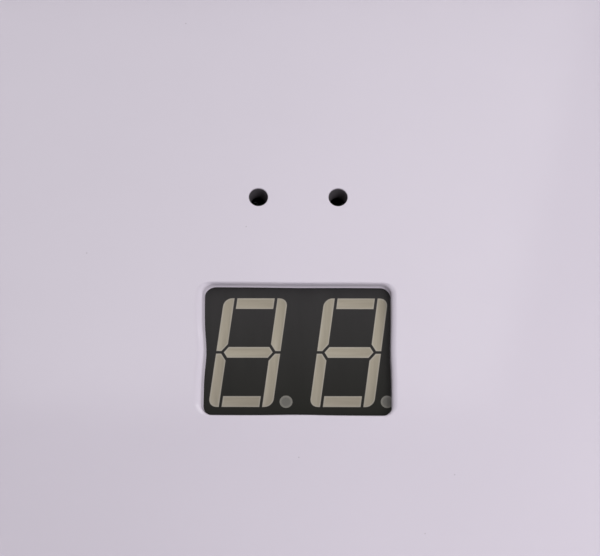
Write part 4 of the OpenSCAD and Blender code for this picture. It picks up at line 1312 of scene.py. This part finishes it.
class HEAD_OT_latch(bpy.types.Operator):
    """Turn the latch: bush, nut, plug, clip, cam and screw"""

    bl_idname = "signal_head.latch"
    bl_label = "Turn the latch"

    def execute(self, context):
        sizes = context.scene.head_sizes
        latch_bush(sizes)
        hex_nut("latch_hex_nut", "latch_nut", "door", "steel", "back", 5.05 * MM)
        dress("latch_plug", "turned_steel", sizes.turned_edge)
        dress("latch_clip", "steel", sizes.turned_edge)
        dress("latch_cam", "steel", sizes.turned_edge * 2)
        crowned_screws("latch_screw", "latch_cam_screw", "latch", "back", sizes.screw_crown)
        return {"FINISHED"}


# Housing


class HEAD_OT_housing(bpy.types.Operator):
    """Mould the housing, with its gasket and hinge pins"""

    bl_idname = "signal_head.housing"
    bl_label = "Mould the housing"

    def execute(self, context):
        sizes = context.scene.head_sizes
        dress("rear_housing", "white_plastic", sizes.moulded_edge)
        gasket = welded("door_gasket")
        round_edges(gasket, sizes.bulb, 5, level_with(1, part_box("door_gasket")[0].y))
        add_piece("gasket_bulb", gasket, "housing", "seal_rubber", replaces=["door_gasket"])
        for node in ("hinge_pin_upper", "hinge_pin_lower"):
            pin = welded(node)
            round_edges(pin, sizes.screw_crown * 0.7, 4, level_with(2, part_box(node)[1].z))
            add_piece(f"{node}_crowned", pin, "housing", "steel", replaces=[node])
        return {"FINISHED"}


# Supply board


def converter():
    """The potted converter with a shallow panel in its lid."""
    low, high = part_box("supply_converter")
    case = welded("supply_converter")
    edge, rim, deep = mm(0.6, 2.0, 0.3)
    round_edges(case, edge, 3, level_with(1, low.y))
    panel = boxed((low.x + rim, low.y - deep, low.z + rim), (high.x - rim, low.y + deep, high.z - rim))
    add_piece("converter_case", carved(case, panel), "housing", "black_plastic",
              replaces=["supply_converter"])


def fuse_cap():
    """The round fuse cap with a grip slot."""
    low, high, spot, tall = footing("fuse_holder", "front")
    radius = (high.x - low.x) / 2
    edge, foot, groove, half, deep = mm(0.5, 1.6, 0.25, 0.6, 0.9)
    rows = [(0, 0), (0, radius), (foot - groove, radius), (foot, radius - groove), (foot + groove, radius)]
    rows += [*rounded(tall, radius, edge, range(0, 91, 18)), (tall, 0)]
    slot = boxed((spot.x - radius * 0.6, low.y - deep, spot.z - half),
                 (spot.x + radius * 0.6, low.y + deep, spot.z + half))
    cap = carved(turned(rows, spot, "front"), slot)
    add_piece("fuse_cap", cap, "housing", "black_plastic", replaces=["fuse_holder"])


def terminals(sizes):
    """The terminal block, grooved between its poles, with clamps in its wire entries."""
    low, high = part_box("terminal_block")
    case = welded("terminal_block")
    poles = middles("terminal_screws")
    pitch = poles[1].x - poles[0].x
    deep, half, foot, inside, wide, rise, thick = mm(0.35, 0.2, 1.0, 4.2, 1.7, 3.6, 0.7)
    for x in [pole.x + pitch / 2 for pole in poles[:-1]]:
        for y, z in ((low.y + deep, high.z + deep), (high.y - foot, low.z + deep)):
            case = carved(case, boxed((x - half, low.y - deep, low.z - deep), (x + half, y, z)))
    soften(add_piece("terminal_case", case, "housing", "green_plastic", replaces=["terminal_block"]),
           sizes.small_edge)
    clamps = bmesh.new()
    for pole in poles:
        block(clamps, (pole.x - wide, high.y - rise - wide, low.z + inside),
              (pole.x + wide, high.y - rise + wide, low.z + inside + thick))
    add_piece("terminal_clamps", clamps, "housing", "tinned_metal")


def supply_tracks(sizes):
    """Wide tracks, printed outlines and the rings round the screws."""
    poles = middles("terminal_screws")
    screw = middles("supply_screws")[0]
    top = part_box("terminal_block")[1].z
    fuse, cap, case, header = (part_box(node) for node in (
        "fuse_holder", "supply_capacitor", "supply_converter", "supply_header"))
    fuse_at, cap_x, header_x = middle(fuse), middle(cap).x, middle(header).x
    rise, case_in, cap_in, cap_up, post, cut = mm(3.6, 3, 5, 2, 1.4, 1.6)
    lines = [
        [(poles[2].x, top), (poles[2].x, top + rise), (fuse[0].x - rise, top + rise), (fuse[0].x, fuse_at.z)],
        bridge((fuse_at.x, fuse[1].z), fuse[1].z + 2 * rise, (case[1].x - case_in, case[0].z)),
        [(poles[1].x, top), (poles[1].x, case[0].z)],
        bridge((poles[0].x, top), top + rise, (screw.x, screw.z)),
        [(case[1].x, case[1].z - cap_in), (cap_x, case[1].z - cap_in), (cap_x, cap[1].z)],
        [(case[1].x, cap[0].z + cap_up), (cap[0].x, cap[0].z + cap_up)],
    ]
    for x, up in ((header_x - post, 4 * MM), (header_x + post, 1.6 * MM)):
        lines.append([(case[0].x, header[1].z + up), (x, header[1].z + up), (x, header[1].z)])
    copper = bmesh.new()
    lay(copper, lines, cut, sizes.wide_track, SUPPLY_Y, -sizes.copper)
    add_piece("supply_tracks", copper, "housing", "circuit_board", "track")
    ink = bmesh.new()
    outline_marks(ink, sizes, SUPPLY_Y, -1,
                  ["supply_converter", "supply_header", "terminal_block", "supply_capacitor"])
    fuse_at.y = SUPPLY_Y
    radius = (fuse[1].x - fuse[0].x) / 2 + 0.6 * MM
    ring(ink, fuse_at, "front", radius - sizes.mark / 2, radius + sizes.mark / 2, sizes.ink)
    add_piece("supply_board_marks", ink, "housing", "circuit_board", "mark")
    pads = bmesh.new()
    screw_pads(pads, "supply_screws", "front", SUPPLY_Y, 3.4 * MM)
    add_piece("supply_screw_pads", pads, "housing", "tinned_metal")


class HEAD_OT_supply(bpy.types.Operator):
    """Fit out the supply board with its tracks and components"""

    bl_idname = "signal_head.supply"
    bl_label = "Fit out the supply board"

    def execute(self, context):
        sizes = context.scene.head_sizes
        dress("supply_board", "circuit_board", sizes.small_edge)
        crowned_screws("supply_screws", "supply_screw_set", "housing", "front", sizes.screw_crown)
        dress("terminal_screws", "steel", sizes.small_edge)
        can_capacitor("supply_capacitor", "housing", "front", True)
        pin_header("supply_header", "housing", "front")
        converter()
        fuse_cap()
        terminals(sizes)
        supply_tracks(sizes)
        return {"FINISHED"}


# Gland


def gland_body(sizes):
    """The body, threaded above and below its hexagon."""
    low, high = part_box("gland_body")
    spot = middle((low, high))
    spot.z = 0
    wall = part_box("rear_housing")[0].z
    radius, bore, across, hex_tall, depth, edge, plain = mm(6.0, 3.8, 16.0, 5.0, 0.6, 0.4, 2.6)
    rows = [(low.z, bore), (low.z, radius - edge)]
    rows += thread(radius, depth, sizes.nylon_pitch, low.z + edge, wall - hex_tall - edge)
    rows += [(wall - hex_tall, radius)]
    rows += hexagon_rows(wall - hex_tall, wall, across, across / 2, edge, (0, 0.5, 1))
    rows += [(wall, radius)]
    rows += thread(radius, depth, sizes.nylon_pitch, wall + plain, high.z - edge)
    rows += [(high.z, radius - edge), (high.z, bore)]
    add_piece("gland_threaded_body", turned(rows, spot, "up", tube=True), "housing", "gland_plastic",
              replaces=["gland_body"])


class HEAD_OT_gland(bpy.types.Operator):
    """Mould the cable gland: body, nuts and seal"""

    bl_idname = "signal_head.gland"
    bl_label = "Mould the gland"

    def execute(self, context):
        sizes = context.scene.head_sizes
        gland_body(sizes)
        hex_nut("gland_hex_nut", "gland_lock_nut", "housing", "gland_plastic", "up", 6.1 * MM)
        dress("gland_clamp_nut", "gland_plastic", sizes.moulded_edge)
        dress("gland_seal", "seal_rubber", sizes.moulded_edge)
        return {"FINISHED"}


# Panel and registration


class HEAD_PT_panel(bpy.types.Panel):
    """Lists the steps in the sidebar"""

    bl_idname = "HEAD_PT_panel"
    bl_label = "Signal Head"
    bl_space_type = "VIEW_3D"
    bl_region_type = "UI"
    bl_category = "Signal Head"

    def draw(self, context):
        for step in STEPS:
            self.layout.operator(step.bl_idname)


STEPS = (HEAD_OT_stage, HEAD_OT_door, HEAD_OT_display, HEAD_OT_lamps, HEAD_OT_display_board, HEAD_OT_latch,
         HEAD_OT_housing, HEAD_OT_supply, HEAD_OT_gland)
SETTINGS = {"head_sizes": HeadSizes, "head_colours": HeadColours, "head_stage": HeadStage}


def register():
    for kind in (*SETTINGS.values(), *STEPS, HEAD_PT_panel):
        bpy.utils.register_class(kind)
    for name, kind in SETTINGS.items():
        setattr(bpy.types.Scene, name, PointerProperty(type=kind))


def unregister():
    for name in SETTINGS:
        delattr(bpy.types.Scene, name)
    for kind in (HEAD_PT_panel, *reversed(STEPS), *SETTINGS.values()):
        bpy.utils.unregister_class(kind)


def main():
    register()
    make_finishes(bpy.context.scene.head_colours)
    for step in STEPS:
        group, name = step.bl_idname.split(".")
        getattr(getattr(bpy.ops, group), name)()


if __name__ == "__main__":
    main()
